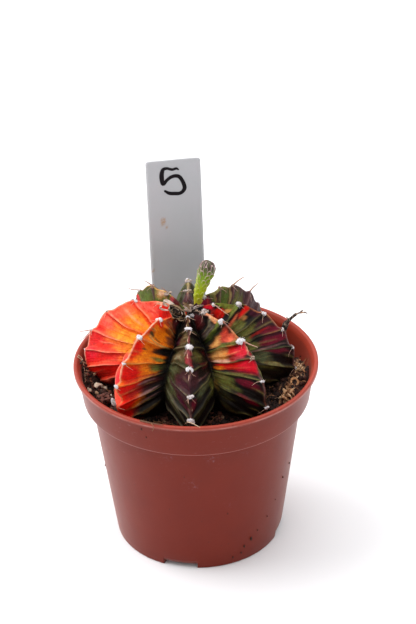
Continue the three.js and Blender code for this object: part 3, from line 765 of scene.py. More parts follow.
def rib_points(k, side, t, level, fine=1.0):
    """Points of the ribs. t runs from the valley (0) to the edge (1) and its crest (1.2); level counts
    the areoles down."""
    k, side, t, level = np.broadcast_arrays(k, side, np.asarray(t, float), np.asarray(level, float))
    crest = np.clip((t - 1) / 0.2, 0, 1)
    t = np.minimum(t, 1)
    step = (side * (AZIMUTHS[(k + side) % RIB_COUNT] - AZIMUTHS[k]) + 360) % 360
    half_angle = np.radians(step / 2)
    cell, f = between(VALLEY_TABLE, level)
    valley_angle = VALLEY_TABLE[cell] * (1 - f) + VALLEY_TABLE[cell + 1] * f
    edge_angle = ANGLE_TABLE[k, cell] * (1 - f) + ANGLE_TABLE[k, cell + 1] * f
    angle = valley_angle * (1 - t) + edge_angle * t
    shown = smoothstep(level, 0.8, 1.6) * (1 - smoothstep(level, 7, 7.6))
    held = smoothstep(angle, 42, 66)
    shoulder = SHOULDERS[k] * np.exp(-(((angle - 52) / 16) ** 2))
    shoulder = shoulder - DIPS[k] * np.exp(-(((angle - 14) / 10) ** 2))
    edge = (curve_at(EDGE_REACH, angle) + shoulder) * (1 - (1 - GIRTHS[k]) * held)
    notched = 1 + NOTCHES[k] * smoothstep(level, 4.6, 5)
    edge = edge - SCALLOP * notched * inlet(level % 1) * shown + CREST * crest
    crumpled = CRUMPLES[k] * np.exp(-(((level - 3.5) / 0.42) ** 2))
    edge = edge + fine * shown * t ** 3 * (0.16 + 0.35 * crumpled) * edge_ripple(k, level, 81)
    reach = curve_at(VALLEY_REACH, angle) * (1 - t) + edge * t
    r = reach * np.sin(np.radians(angle))
    z = POT_HEIGHT + reach * np.cos(np.radians(angle))
    keel_angle = np.minimum(KEEL / np.maximum(r, 0.1), 0.35 * half_angle) * (1 - crest)
    folded = fold_level(k, side, t, level)
    main = crease(folded % 1) * (0.4 + 0.85 * fold_strength(k, side, t, level, 61))
    second = crease((folded + 0.5 + 0.06 * np.sin(k * 2.1 + level)) % 1)
    second = second * 0.55 * smoothstep(fold_strength(k, side, t, level, 62), 0.4, 0.7)
    folds = (main + second) * PLEAT * shown * np.sin(math.pi * t)
    spots = np.stack([level * 3.4, t * 1.9, k * 11.0 + 5.0 * side], -1)
    wrinkles = fine * 0.75 * (fractal(spots, 1.0, 3, 3) - 0.5) * np.sin(math.pi * t) ** 0.7
    swelling = (folds + wrinkles) / np.maximum(r, 1)
    spread = 1 - (1 - t) ** 1.12
    turn = half_angle * (1 - spread) + keel_angle * spread
    turn = turn + np.where((t > 0) & (t < 1), swelling, 0)
    swing = SWINGS[k] * t * smoothstep(level, 5, 6)
    wobble = fine * shown * t ** 3 * (WOBBLES[k] + crumpled) * edge_ripple(k, level, 71)
    wobble = wobble / np.maximum(r, 1)
    azimuth = np.radians(AZIMUTHS[k] + swing) + wobble + side * np.minimum(turn, half_angle)
    x = PLANT_X + r * np.cos(azimuth)
    y = r * np.sin(azimuth)
    limit = np.where(z < POT_HEIGHT, pot_inner_radius(z) - GAP - 0.15, np.inf)
    shrink = np.minimum(1, limit / np.maximum(np.hypot(x, y), 0.1))
    return np.stack([x * shrink, y * shrink, z], -1)


# Colours of the skin
ROOT_BROWN = srgb(70, 48, 36)
PALETTE = {
    "ORANGE": srgb(246, 118, 40), "GOLD": srgb(242, 152, 36), "AMBER": srgb(222, 116, 10),
    "SALMON": srgb(250, 98, 84), "RED": srgb(220, 16, 6), "CRIMSON": srgb(222, 14, 44),
    "PINK": srgb(160, 52, 66), "PEACH": srgb(240, 160, 104), "CREAM": srgb(222, 200, 166),
    "MAGENTA": srgb(108, 4, 38), "PURPLE": srgb(56, 10, 30), "AUBERGINE": srgb(54, 26, 32),
    "MAROON": srgb(66, 14, 18), "OLIVE": srgb(96, 102, 44), "LIME": srgb(150, 152, 92),
    "GREEN": srgb(74, 94, 30), "MOSS": srgb(46, 46, 22), "BLACK": srgb(14, 10, 8),
    "GREY": srgb(92, 84, 74), "TAN": srgb(206, 166, 96), "MUSTARD": srgb(150, 130, 44),
    "BRICK": srgb(150, 22, 12), "BROWN": srgb(112, 62, 40), "CORAL": srgb(252, 120, 84),
    "BLUSH": srgb(238, 184, 156), "LILAC": srgb(140, 104, 104), "BRIGHT": srgb(110, 124, 46),
    "HONEY": srgb(206, 146, 80), "FLAME": srgb(238, 68, 44), "RUST": srgb(150, 46, 26),
    "BEIGE": srgb(150, 132, 78), "SAGE": srgb(74, 82, 54), "MIST": srgb(142, 140, 112),
    "ROSE": srgb(224, 34, 56), "EMBER": srgb(182, 62, 46), "FERN": srgb(124, 124, 76),
    "SHELL": srgb(248, 180, 146), "UMBER": srgb(88, 76, 50),
}

# Skin of each flank: its ground colour, the colour of its cords, then patches as colour, level, t,
# half height, half width, strength.
# The BLACK patches are painted shade, partly the skin's own dark colour: they lie in the valleys, under
# folds and at the lowest levels
SKIN = {
    "A_right": ("FLAME", "SHELL", [
        ("RED", 1.2, 0.5, 0.4, 0.45, 0.9), ("BRICK", 1.1, 0.38, 0.2, 0.2, 0.5),
        ("SALMON", 1.65, 0.8, 0.5, 0.4, 0.8), ("BLUSH", 1.0, 0.98, 0.3, 0.1, 0.8),
        ("ORANGE", 2.5, 0.46, 0.6, 0.42, 1), ("GOLD", 2.6, 0.42, 0.36, 0.28, 0.9),
        ("CORAL", 2.5, 0.88, 0.4, 0.18, 0.5), ("RED", 2.15, 0.5, 0.1, 0.3, 0.5),
        ("ORANGE", 3.5, 0.44, 0.55, 0.42, 1), ("GOLD", 3.6, 0.3, 0.5, 0.3, 1),
        ("SALMON", 3.4, 0.85, 0.34, 0.18, 0.7), ("RED", 3.16, 0.6, 0.1, 0.35, 0.5),
        ("GOLD", 4.5, 0.14, 0.6, 0.24, 1), ("ORANGE", 4.45, 0.4, 0.4, 0.28, 0.9),
        ("RED", 4.65, 0.66, 0.26, 0.26, 0.7), ("ROSE", 4.35, 0.88, 0.25, 0.16, 0.7),
        ("ORANGE", 5.5, 0.1, 0.4, 0.14, 0.9), ("RED", 5.45, 0.6, 0.4, 0.4, 1),
        ("RED", 5.2, 0.85, 0.35, 0.2, 0.8), ("CORAL", 5.75, 0.35, 0.1, 0.3, 0.4),
        ("RED", 4.2, 0.95, 0.6, 0.22, 0.8), ("CRIMSON", 5.2, 0.9, 0.6, 0.3, 0.8),
        ("BRICK", 5.1, 0.7, 0.1, 0.3, 0.4), ("RED", 6.5, 0.5, 0.5, 0.8, 1),
        ("BRICK", 6.75, 0.7, 0.3, 0.5, 0.8), ("BLACK", 7.4, 0.5, 0.4, 1, 0.9),
    ]),
    "B_right": ("AMBER", "BEIGE", [
        ("BLACK", 1.0, 0.2, 0.6, 0.6, 1), ("MAROON", 1.35, 0.45, 0.5, 0.45, 1),
        ("RUST", 1.55, 0.85, 0.3, 0.3, 0.95), ("MAROON", 1.0, 0.8, 0.3, 0.4, 0.9),
        ("BROWN", 1.8, 0.5, 0.22, 0.4, 0.9), ("MOSS", 2.05, 0.42, 0.14, 0.16, 0.6),
        ("RUST", 1.85, 0.85, 0.12, 0.2, 0.7), ("BLACK", 1.7, 0.08, 1.5, 0.2, 1),
        ("BROWN", 2.45, 0.2, 0.45, 0.14, 0.85), ("RED", 2.12, 0.85, 0.14, 0.25, 0.9),
        ("RED", 2.5, 0.97, 0.4, 0.12, 0.8), ("MOSS", 2.66, 0.82, 0.08, 0.14, 0.95),
        ("MOSS", 2.72, 0.55, 0.05, 0.14, 0.7), ("MOSS", 2.5, 0.9, 0.05, 0.08, 0.7),
        ("BEIGE", 2.9, 0.45, 0.06, 0.5, 0.7), ("BLACK", 3.3, 0.18, 0.34, 0.3, 1),
        ("BLACK", 3.3, 0.4, 0.16, 0.12, 0.8), ("RED", 3.4, 0.92, 0.5, 0.2, 1),
        ("MOSS", 3.37, 0.73, 0.05, 0.07, 0.95), ("OLIVE", 3.8, 0.26, 0.18, 0.22, 0.9),
        ("BLACK", 4.2, 0.04, 1.6, 0.16, 1), ("MOSS", 4.4, 0.17, 0.45, 0.16, 1),
        ("OLIVE", 4.45, 0.3, 0.36, 0.12, 0.9), ("RED", 4.5, 0.84, 0.46, 0.27, 1),
        ("RUST", 4.9, 0.6, 0.1, 0.3, 0.6), ("BLACK", 5.4, 0.12, 0.6, 0.22, 1),
        ("MAROON", 5.3, 0.36, 0.4, 0.16, 0.9), ("RED", 5.45, 0.8, 0.5, 0.38, 1),
        ("MAROON", 5.6, 0.34, 0.5, 0.34, 1), ("RED", 6.2, 0.9, 0.5, 0.34, 1),
        ("BRICK", 5.7, 0.7, 0.4, 0.2, 0.7), ("BRICK", 6.95, 0.75, 0.45, 0.5, 1),
        ("BLACK", 6.4, 0.15, 1.0, 0.42, 1), ("BLACK", 7.0, 0.45, 0.45, 0.4, 1),
        ("RED", 6.7, 0.95, 0.4, 0.22, 0.9), ("BLACK", 7.2, 0.1, 1.3, 0.5, 1),
        ("LILAC", 5.35, 0.4, 0.06, 0.2, 0.7), ("LILAC", 5.95, 0.42, 0.06, 0.24, 0.75),
        ("LILAC", 6.45, 0.4, 0.06, 0.3, 0.7), ("BLACK", 7.6, 0.5, 0.4, 1, 0.9),
    ]),
    "C_left": ("MOSS", "MIST", [
        ("BLACK", 1.0, 0.3, 0.9, 0.7, 1), ("MAROON", 1.35, 0.8, 0.25, 0.3, 0.6),
        ("BLACK", 1.9, 0.4, 0.3, 0.6, 0.9), ("PURPLE", 2.45, 0.2, 0.42, 0.34, 1),
        ("UMBER", 2.5, 0.72, 0.42, 0.34, 1), ("BLACK", 2.9, 0.02, 0.5, 0.16, 1),
        ("BLACK", 3.5, 0.02, 0.7, 0.24, 1), ("UMBER", 3.45, 0.52, 0.44, 0.36, 1),
        ("MIST", 3.65, 0.5, 0.16, 0.2, 0.5), ("PINK", 3.2, 0.96, 0.2, 0.12, 0.6),
        ("PINK", 3.55, 0.93, 0.26, 0.12, 0.7), ("LILAC", 3.3, 0.82, 0.12, 0.12, 0.5),
        ("BLACK", 4.45, 0.04, 0.5, 0.18, 1), ("SAGE", 4.4, 0.28, 0.4, 0.24, 0.9),
        ("AUBERGINE", 4.5, 0.8, 0.46, 0.32, 1), ("SAGE", 5.4, 0.3, 0.4, 0.26, 0.9),
        ("PURPLE", 4.85, 0.78, 0.3, 0.3, 0.7), ("AUBERGINE", 5.2, 0.6, 0.24, 0.5, 0.9),
        ("PURPLE", 5.6, 0.75, 0.2, 0.3, 0.95), ("BLACK", 5.9, 0.75, 0.12, 0.3, 0.8),
        ("LILAC", 5.7, 0.98, 0.16, 0.06, 0.4), ("SAGE", 6.3, 0.32, 0.35, 0.26, 0.7),
        ("BLACK", 6.45, 0.85, 0.35, 0.34, 1), ("MIST", 6.3, 0.4, 0.05, 0.3, 0.5),
        ("BLACK", 7.2, 0.5, 0.6, 1, 1),
    ]),
    "C_right": ("BLACK", "FERN", [
        ("PURPLE", 1.5, 0.7, 0.3, 0.3, 0.7), ("MAROON", 3.3, 0.15, 0.3, 0.2, 0.8),
        ("MOSS", 2.6, 0.8, 0.3, 0.25, 0.9), ("MOSS", 3.5, 0.6, 0.4, 0.3, 1),
        ("OLIVE", 3.45, 0.6, 0.25, 0.2, 0.35), ("MAROON", 3.92, 0.42, 0.08, 0.26, 0.7),
        ("PINK", 3.3, 0.95, 0.16, 0.1, 0.6), ("PINK", 3.7, 0.96, 0.24, 0.1, 0.6),
        ("MAROON", 4.25, 0.32, 0.2, 0.2, 0.8), ("LILAC", 4.7, 0.6, 0.08, 0.4, 0.4),
        ("AUBERGINE", 4.5, 0.85, 0.45, 0.24, 1), ("SAGE", 5.4, 0.5, 0.36, 0.3, 0.8),
        ("MAGENTA", 5.5, 0.95, 0.3, 0.14, 0.5), ("OLIVE", 6.0, 0.1, 0.5, 0.16, 0.6),
        ("OLIVE", 5.6, 0.15, 0.3, 0.15, 0.5), ("MOSS", 6.3, 0.5, 0.3, 0.4, 0.8),
        ("BLACK", 6.75, 0.6, 0.3, 0.5, 1),
    ]),
    "D_left": ("BLACK", "LIME", [
        ("MAROON", 0.75, 0.4, 0.45, 0.5, 1), ("BLACK", 1.2, 0.6, 0.14, 0.35, 0.9),
        ("AUBERGINE", 1.15, 0.9, 0.2, 0.14, 0.8), ("BLUSH", 1.5, 0.98, 0.6, 0.12, 1),
        ("PEACH", 1.7, 0.9, 0.24, 0.1, 0.8), ("GREY", 1.62, 0.5, 0.3, 0.42, 0.85),
        ("AUBERGINE", 1.5, 0.4, 0.12, 0.3, 0.6), ("GREEN", 2.0, 0.6, 0.1, 0.6, 0.9),
        ("MOSS", 2.25, 0.5, 0.12, 0.5, 0.7), ("HONEY", 2.6, 0.43, 0.24, 0.26, 1),
        ("EMBER", 2.5, 0.76, 0.3, 0.2, 1), ("CORAL", 2.7, 0.88, 0.2, 0.16, 0.6),
        ("OLIVE", 2.95, 0.5, 0.14, 0.55, 0.95), ("MAROON", 3.4, 0.02, 0.5, 0.14, 1),
        ("HONEY", 3.45, 0.34, 0.4, 0.26, 1), ("AMBER", 3.5, 0.44, 0.25, 0.14, 0.5),
        ("BLUSH", 3.88, 0.3, 0.14, 0.25, 0.75), ("RED", 3.4, 0.66, 0.4, 0.16, 0.8),
        ("ROSE", 3.5, 0.88, 0.42, 0.26, 1), ("BRICK", 3.75, 0.62, 0.24, 0.16, 0.8),
        ("PINK", 3.85, 0.75, 0.1, 0.16, 0.5), ("MOSS", 3.6, 0.6, 0.1, 0.06, 0.7),
        ("RED", 4.3, 0.42, 0.22, 0.32, 1), ("BLUSH", 4.08, 0.25, 0.1, 0.2, 0.7),
        ("CRIMSON", 4.45, 0.8, 0.36, 0.34, 0.9), ("MAGENTA", 4.8, 0.7, 0.16, 0.34, 0.7),
        ("AMBER", 4.6, 0.2, 0.2, 0.14, 0.9), ("RED", 4.5, 0.45, 0.2, 0.2, 0.8),
        ("OLIVE", 5.0, 0.4, 0.16, 0.5, 0.8), ("OLIVE", 5.5, 0.18, 0.5, 0.26, 0.95),
        ("LIME", 5.3, 0.16, 0.2, 0.14, 0.4), ("MAGENTA", 5.4, 0.7, 0.2, 0.24, 0.7),
        ("OLIVE", 5.8, 0.35, 0.1, 0.3, 0.6), ("MAGENTA", 6.1, 0.66, 0.18, 0.2, 1),
        ("MOSS", 6.4, 0.15, 0.4, 0.2, 1), ("MUSTARD", 6.1, 0.04, 0.4, 0.08, 0.7),
    ]),
    "E_left": ("BLACK", "FERN", [
        ("CRIMSON", 0.85, 0.9, 0.2, 0.25, 0.9), ("BRICK", 1.3, 0.4, 0.4, 0.3, 0.9),
        ("RED", 1.4, 0.6, 0.3, 0.2, 0.9), ("HONEY", 1.72, 0.78, 0.16, 0.12, 0.9),
        ("BRIGHT", 1.5, 0.97, 0.36, 0.14, 1), ("BRIGHT", 1.9, 0.8, 0.12, 0.3, 0.9),
        ("CORAL", 2.3, 0.5, 0.1, 0.2, 0.7), ("RED", 2.4, 0.85, 0.14, 0.24, 1),
        ("OLIVE", 2.65, 0.42, 0.3, 0.22, 1), ("HONEY", 2.6, 0.68, 0.16, 0.1, 0.6),
        ("PURPLE", 2.75, 0.95, 0.3, 0.14, 1), ("OLIVE", 3.3, 0.42, 0.32, 0.26, 0.95),
        ("AUBERGINE", 3.45, 0.82, 0.3, 0.26, 1), ("BRICK", 3.8, 0.55, 0.1, 0.3, 0.8),
        ("MAGENTA", 3.9, 0.8, 0.2, 0.25, 0.8), ("OLIVE", 3.75, 0.25, 0.35, 0.16, 0.8),
        ("MAGENTA", 4.45, 0.68, 0.3, 0.34, 1), ("PURPLE", 4.2, 0.85, 0.12, 0.3, 0.8),
        ("BLACK", 4.78, 0.8, 0.12, 0.34, 0.9), ("OLIVE", 4.5, 0.25, 0.35, 0.16, 0.8),
        ("LILAC", 4.9, 0.5, 0.07, 0.4, 0.5), ("SAGE", 5.5, 0.34, 0.45, 0.24, 1),
        ("FERN", 5.1, 0.4, 0.06, 0.3, 0.6), ("MAGENTA", 5.25, 0.7, 0.16, 0.28, 0.9),
        ("BLACK", 5.6, 0.9, 0.4, 0.26, 0.9), ("FERN", 5.9, 0.5, 0.1, 0.24, 0.85),
        ("MOSS", 6.5, 0.4, 0.4, 0.35, 1), ("OLIVE", 6.2, 0.34, 0.16, 0.26, 0.8),
        ("BLACK", 6.7, 0.6, 0.3, 0.5, 0.9),
    ]),
    "F_left": ("AUBERGINE", "LILAC", [
        ("MAGENTA", 1.0, 0.6, 0.4, 0.5, 1), ("BRICK", 1.15, 0.6, 0.16, 0.25, 0.7),
        ("GREEN", 1.6, 0.85, 0.2, 0.25, 0.9), ("BEIGE", 1.76, 0.72, 0.07, 0.3, 0.55),
        ("GREEN", 2.4, 0.72, 0.42, 0.45, 1), ("LIME", 2.0, 0.98, 0.6, 0.07, 0.8),
        ("BEIGE", 2.87, 0.7, 0.07, 0.36, 0.6), ("GREY", 3.05, 0.9, 0.15, 0.2, 0.7),
        ("OLIVE", 3.5, 0.55, 0.35, 0.35, 0.7), ("MAROON", 4.5, 0.6, 0.4, 0.5, 0.5),
        ("BLACK", 6.6, 0.5, 0.8, 1, 0.9),
    ]),
    "G_left": ("SAGE", "GREY", [
        ("MAROON", 0.9, 0.6, 0.6, 0.8, 1), ("LILAC", 0.9, 0.97, 0.3, 0.06, 0.4),
        ("BEIGE", 1.7, 0.97, 0.6, 0.1, 0.8), ("MOSS", 2.0, 0.5, 0.9, 0.45, 0.8),
        ("GREEN", 3.4, 0.5, 0.6, 0.6, 0.6), ("MAROON", 4.3, 0.7, 0.5, 0.4, 0.8),
        ("RED", 5.3, 0.5, 0.35, 0.3, 0.7), ("BLACK", 6.8, 0.5, 0.8, 1, 0.9),
    ]),
    "H_right": ("GREEN", "GREY", [
        ("MAROON", 0.7, 0.7, 0.3, 0.5, 1), ("PINK", 0.85, 0.85, 0.12, 0.2, 0.8),
        ("BEIGE", 1.2, 0.8, 0.12, 0.2, 0.6), ("BEIGE", 1.55, 0.86, 0.36, 0.24, 1),
        ("CREAM", 1.5, 0.9, 0.22, 0.12, 0.7), ("PURPLE", 2.05, 0.7, 0.1, 0.4, 0.9),
        ("GREEN", 2.6, 0.8, 0.4, 0.4, 0.7), ("CRIMSON", 3.45, 0.85, 0.18, 0.14, 0.85),
        ("MAGENTA", 4.2, 0.8, 0.6, 0.3, 0.8), ("MAROON", 5.0, 0.4, 0.4, 0.4, 0.7),
        ("BLACK", 6.8, 0.5, 0.8, 1, 0.9),
    ]),
}
# Flanks that face away take after a flank that is seen
SKIN["A_left"] = SKIN["A_right"]
SKIN["B_left"] = SKIN["A_right"]
SKIN["D_right"] = SKIN["D_left"]
SKIN["E_right"] = SKIN["E_left"]
SKIN["F_right"] = SKIN["F_left"]
SKIN["G_right"] = SKIN["G_left"]
SKIN["H_left"] = SKIN["H_right"]

# Colour along each rib's edge, as level, colour and strength
EDGES = {
    "A": [
        (0.8, "CORAL", 0.5), (1.6, "CORAL", 0.6), (2.2, "BLUSH", 0.6), (4, "BLUSH", 0.7),
        (5.2, "BLUSH", 0.6), (6, "TAN", 0.5), (7, "BRICK", 0.3),
    ],
    "B": [
        (0.8, "CORAL", 0.7), (1.9, "CORAL", 0.7), (2.1, "BLUSH", 0.95), (3, "BLUSH", 0.9),
        (4, "BLUSH", 0.85), (5.6, "PEACH", 0.7), (6.2, "CORAL", 0.3),
    ],
    "C": [
        (1, "BROWN", 0.5), (1.9, "BEIGE", 0.4), (2.2, "LILAC", 0.3), (2.6, "PINK", 0.5),
        (3.1, "LILAC", 0.5), (3.6, "PINK", 0.5), (3.9, "LILAC", 0.3), (4.2, "LILAC", 0.4),
        (4.7, "PURPLE", 0.4), (5.3, "AUBERGINE", 0.4), (5.8, "LILAC", 0.4), (6.3, "LILAC", 0.3),
    ],
    "D": [
        (0.8, "PEACH", 0.9), (1.9, "PEACH", 1), (2.2, "LILAC", 0.7), (2.7, "PEACH", 0.8),
        (3.2, "PINK", 0.8), (3.6, "BLUSH", 0.9), (4.1, "PINK", 0.4), (5, "LILAC", 0.6),
        (6, "BROWN", 0.6),
    ],
    "E": [
        (0.8, "BRIGHT", 0.9), (2, "BRIGHT", 0.9), (2.3, "BROWN", 0.7), (3, "PEACH", 0.6),
        (4, "LILAC", 0.7), (6, "LILAC", 0.7),
    ],
    "F": [(1, "LIME", 0.8), (2.5, "LIME", 0.8), (3.2, "LILAC", 0.6), (6, "LILAC", 0.5)],
    "G": [(1, "CREAM", 0.6), (2.5, "LIME", 0.7), (6, "LILAC", 0.5)],
    "H": [(1, "TAN", 0.8), (2.4, "TAN", 0.7), (3, "LILAC", 0.6), (6, "LILAC", 0.5)],
}
COLOUR_SLOPE = 0.3
# Rib whose lowest pleats all carry thin cords, by its place in the list
CORDED_RIB = 2


def patch_weights(level, t, rough, patch):
    _, at_level, at_t, tall, wide, strength = patch
    slope = COLOUR_SLOPE * (1 - 1.7 * smoothstep(level, 4.6, 5.6))
    off = np.hypot((level + slope * (t - at_t) - at_level) / tall, (t - at_t) / wide)
    return strength * smoothstep(1.0 - off + rough, -0.22, 0.46)


def streaks(k, side, t, level, seed):
    """Ragged noise drawn out along the pleats."""
    spots = np.stack([level * 5.5, t * 2.6, k * 31.0 + side * 9.0], -1)
    return fractal(spots, 1.0, 4, seed) - 0.5


def edge_colours(k, level):
    """Colour along the edge of each rib and how much of it there is."""
    colour = np.zeros((*level.shape, 4))
    strength = np.zeros(level.shape)
    for index, rib in enumerate(RIBS):
        here = k == index
        levels, names, strengths = zip(*EDGES[rib["name"]])
        tints = np.array([PALETTE[name] for name in names])
        for channel in range(4):
            colour[here, channel] = np.interp(level[here], levels, tints[:, channel])
        strength[here] = np.interp(level[here], levels, strengths)
    return colour, strength


def mixed(colour, other, share):
    return colour * (1 - share[..., None]) + other * share[..., None]


def skin_colours(k, side, t, level):
    """Colour of the skin, from the patches of each flank, its cords and its edge."""
    k, side, t, level = np.broadcast_arrays(k, side, np.minimum(t, 1), level)
    colour = np.zeros((*t.shape, 4))
    cord_colour = np.zeros((*t.shape, 4))
    folded = fold_level(k, side, t, level)
    wander_level = 0.2 * streaks(k, side, t * 0.6, level * 0.5, 21)
    wander_t = 0.26 * streaks(k, side, t * 0.6, level * 0.5, 35)
    rough = 0.7 * streaks(k, side, t, level, 50) + 0.45 * streaks(k, side, t * 2.5, level * 2.2, 51)
    for index, rib in enumerate(RIBS):
        for turn, suffix in ((-1, "_left"), (1, "_right")):
            ground, cord, patches = SKIN[rib["name"] + suffix]
            here = (k == index) & (side == turn)
            tint = np.broadcast_to(np.array(PALETTE[ground]), (here.sum(), 4)).copy()
            for patch in patches:
                spot = (folded + wander_level)[here], (t + wander_t)[here]
                weight = patch_weights(*spot, rough[here], patch)
                tint = tint * (1 - weight[:, None]) + np.array(PALETTE[patch[0]]) * weight[:, None]
            colour[here] = tint
            cord_colour[here] = PALETTE[cord]
    f = folded % 1
    shown = smoothstep(level, 1.2, 1.9) * (1 - smoothstep(level, 6.9, 7.3))
    strong = smoothstep(fold_strength(k, side, t, level, 61), 0.3, 0.62)
    cord = np.exp(-(np.minimum(f + 0.03, 1.03 - f) / 0.055) ** 2)
    cord = cord * smoothstep(t, 0.06, 0.3) * (0.25 + 0.75 * strong)
    thin = smoothstep(fold_strength(k, side, t, level, 62), 0.42, 0.62)
    thin = np.maximum(thin, 1.3 * (k == CORDED_RIB) * smoothstep(level, 4.7, 5.3))
    second = np.exp(-((f - 0.5) / 0.05) ** 2) * smoothstep(t, 0.2, 0.45) * thin
    # Painted shadow: a darker, deeper stripe just under each cord
    under = np.exp(-((f - 0.11) / 0.075) ** 2) * smoothstep(t, 0.08, 0.3) * (0.35 + 0.65 * strong)
    deep = colour ** 1.5 * np.array([0.8, 0.5, 0.5, 1])
    colour = mixed(colour, deep, 0.45 * under * shown)
    lighter = colour * 0.3 + cord_colour * 0.7
    colour = mixed(colour, lighter, np.clip(cord + 0.55 * second, 0, 1) * shown)
    # Painted shade in the valleys between the ribs, partly the skin's own dark colour there
    valley = smoothstep(t, 0.2, 0.01) * smoothstep(level, 0.4, 1.2)
    colour = mixed(colour, deep * 0.5, 0.8 * valley)
    edge_tint, strength = edge_colours(k, level)
    keel = smoothstep(t, 0.975, 1.0) * strength * smoothstep(level, 0.6, 1.1) * (0.85 + 0.7 * rough)
    colour = mixed(colour, edge_tint, np.clip(keel, 0, 1))
    colour[..., 3] = 1
    return colour


def level_rows():
    """Levels of the mesh's rows, closer together by the creases at each areole."""
    shares = [
        0, 0.015, 0.03, 0.05, 0.075, 0.105, 0.14, 0.18, 0.23, 0.28, 0.33, 0.38, 0.43, 0.48, 0.53,
        0.58, 0.63, 0.68, 0.73, 0.78, 0.83, 0.87, 0.91, 0.94, 0.965, 0.985,
    ]
    rows = list(np.linspace(0.04, 1, 26, endpoint=False))
    for areole in range(1, 7):
        rows += [areole + f for f in shares]
    rows += list(np.linspace(7, 8, 26))
    return np.array(rows)


def make_plant():
    steps = 1 - (1 - np.linspace(0, 1, 24)) ** 1.3
    over_rib = [(-1, t) for t in steps] + [(1, 1.2)] + [(1, t) for t in steps[:0:-1]]
    places = [(k, side, t) for k in range(RIB_COUNT) for side, t in over_rib]
    ribs, sides, ts = (np.array(values)[None] for values in zip(*places))
    rows = level_rows()[:, None]
    skin = rib_points(ribs, sides, ts, rows)
    colours = skin_colours(ribs, sides, ts, rows)
    columns = skin.shape[1]
    root = []
    turns = np.arctan2(skin[-1, :, 1], skin[-1, :, 0] - PLANT_X)
    for s in np.linspace(0.05, 1, 8):
        radius = ROOT_RADIUS * (1 - 0.75 * s)
        z = np.full(columns, POT_HEIGHT - ROOT_TOP - (ROOT_DEPTH - ROOT_TOP) * s)
        root.append(np.stack([PLANT_X + radius * np.cos(turns), radius * np.sin(turns), z], -1))
    root = np.array(root)
    top = [[PLANT_X, 0, POT_HEIGHT + CROWN_REACH]]
    bottom = [[PLANT_X, 0, POT_HEIGHT - ROOT_DEPTH - 0.5]]
    points = np.vstack([top, skin.reshape(-1, 3), root.reshape(-1, 3), bottom])
    count = len(rows) + len(root)
    faces = grid_faces(count, columns, first=1)
    faces += cap_faces(0, 1, columns)
    faces += cap_faces(len(points) - 1, 1 + (count - 1) * columns, columns, below=True)
    brown = np.tile(ROOT_BROWN, (root.shape[0] * columns + 1, 1))
    tint = np.vstack([[PALETTE["MAROON"]], colours.reshape(-1, 4), brown])
    masks = {}
    folded = fold_level(ribs, sides, np.minimum(ts, 1), rows)
    spreads = {"fold": folded, "across": ts, "flank": 2 * ribs + (sides > 0)}
    for name, values in spreads.items():
        spread = np.broadcast_to(values, skin.shape[:2]).ravel()
        masks[name] = np.concatenate([[0], spread, np.zeros(len(brown))])
    plant = mesh_object("plant", points, faces, colours=tint, masks=masks)
    finish_piece(plant, material("plant_skin", shade_skin), "cactus_body")


def areole_frame(k, number):
    """Centre of an areole and the directions out of the plant, down the edge and along the azimuth."""
    level = number + 1
    edge = [rib_points(k, side, 1.0, [level, level + 0.3], fine=0) for side in (-1, 1)]
    centre, below = (edge[0] + edge[1]) / 2
    down = (below - centre) / np.linalg.norm(below - centre)
    azimuth = math.radians(AZIMUTHS[k] + SWINGS[k] * float(smoothstep(level, 5, 6)))
    along = np.array([-math.sin(azimuth), math.cos(azimuth), 0])
    out = np.cross(along, down)
    return centre, out / np.linalg.norm(out), down, along


# Wool on the areoles: half its width in millimetres, counted down each rib
WOOL = {
    "A": [0, 0.62, 0.5, 0.4, 0.5, 0.45], "B": [0, 0.95, 0.95, 0.58, 0.66, 1.0],
    "C": [0.55, 0.95, 1.08, 0.95, 0.9, 1.05], "D": [1.15, 1.05, 1.5, 0.75, 0.62, 0.62],
    "E": [0.7, 1.05, 0.9, 0.62, 0.6, 0.45], "F": [0.75, 0.55, 0.5, 0.45, 0.5, 0.5],
    "G": [0.95, 0.95, 0.8, 0.6, 0.5, 0.5], "H": [1.15, 0.75, 0.5, 0.5, 0.5, 0.5],
}
# Areoles whose wool has yellowed: rib and number
CREAM_WOOL = {("G", 0), ("G", 1), ("H", 0), ("H", 1), ("A", 2), ("D", 0), ("D", 3), ("F", 1), ("F", 2)}
# Wool between the youngest ribs: place from the pot's axis and the rim, half sizes, shade
CROWN_WOOL = [
    ((-1.74, 0.4, 14.8), (1.2, 0.9, 0.7), 0.2), ((-0.9, 2.2, 14.8), (1.1, 0.8, 0.7), 0.12),
    ((-3.2, -0.6, 14.9), (0.8, 0.7, 0.6), 0.3), ((-0.67, -2.2, 14.7), (0.85, 0.5, 0.4), 0.7),
    ((1.36, 1.5, 15.4), (1.15, 0.36, 0.32), 0.25), ((0.6, -0.4, 14.8), (0.9, 0.7, 0.6), 0.12),
    ((2.6, 0.9, 15.0), (0.8, 0.6, 0.5), 0.3), ((-2.4, 1.6, 14.9), (0.7, 0.6, 0.5), 0.25),
    ((1.1, 0.5, 14.9), (1.0, 0.7, 0.6), 0.2), ((-0.2, 1.2, 14.9), (0.8, 0.6, 0.6), 0.3),
    ((3.6, 1.4, 14.6), (0.8, 0.6, 0.5), 0.15), ((1.6, -1.2, 14.9), (0.7, 0.5, 0.5), 0.25),
]
# Tufts that hang off their areole: rib, number, shift in millimetres, half sizes
WOOL_SHIFTS = {
    ("B", 5): ((-1.2, -0.1, 1.5), (0.8, 1.35, 0.65)), ("D", 0): ((-0.1, 0.2, 0.5), (1.45, 1.0, 0.7)),
    ("G", 0): ((0, 0, 0.1), (1.2, 0.6, 0.6)), ("H", 0): ((0, 0, 0.1), (1.2, 0.6, 0.6)),
}


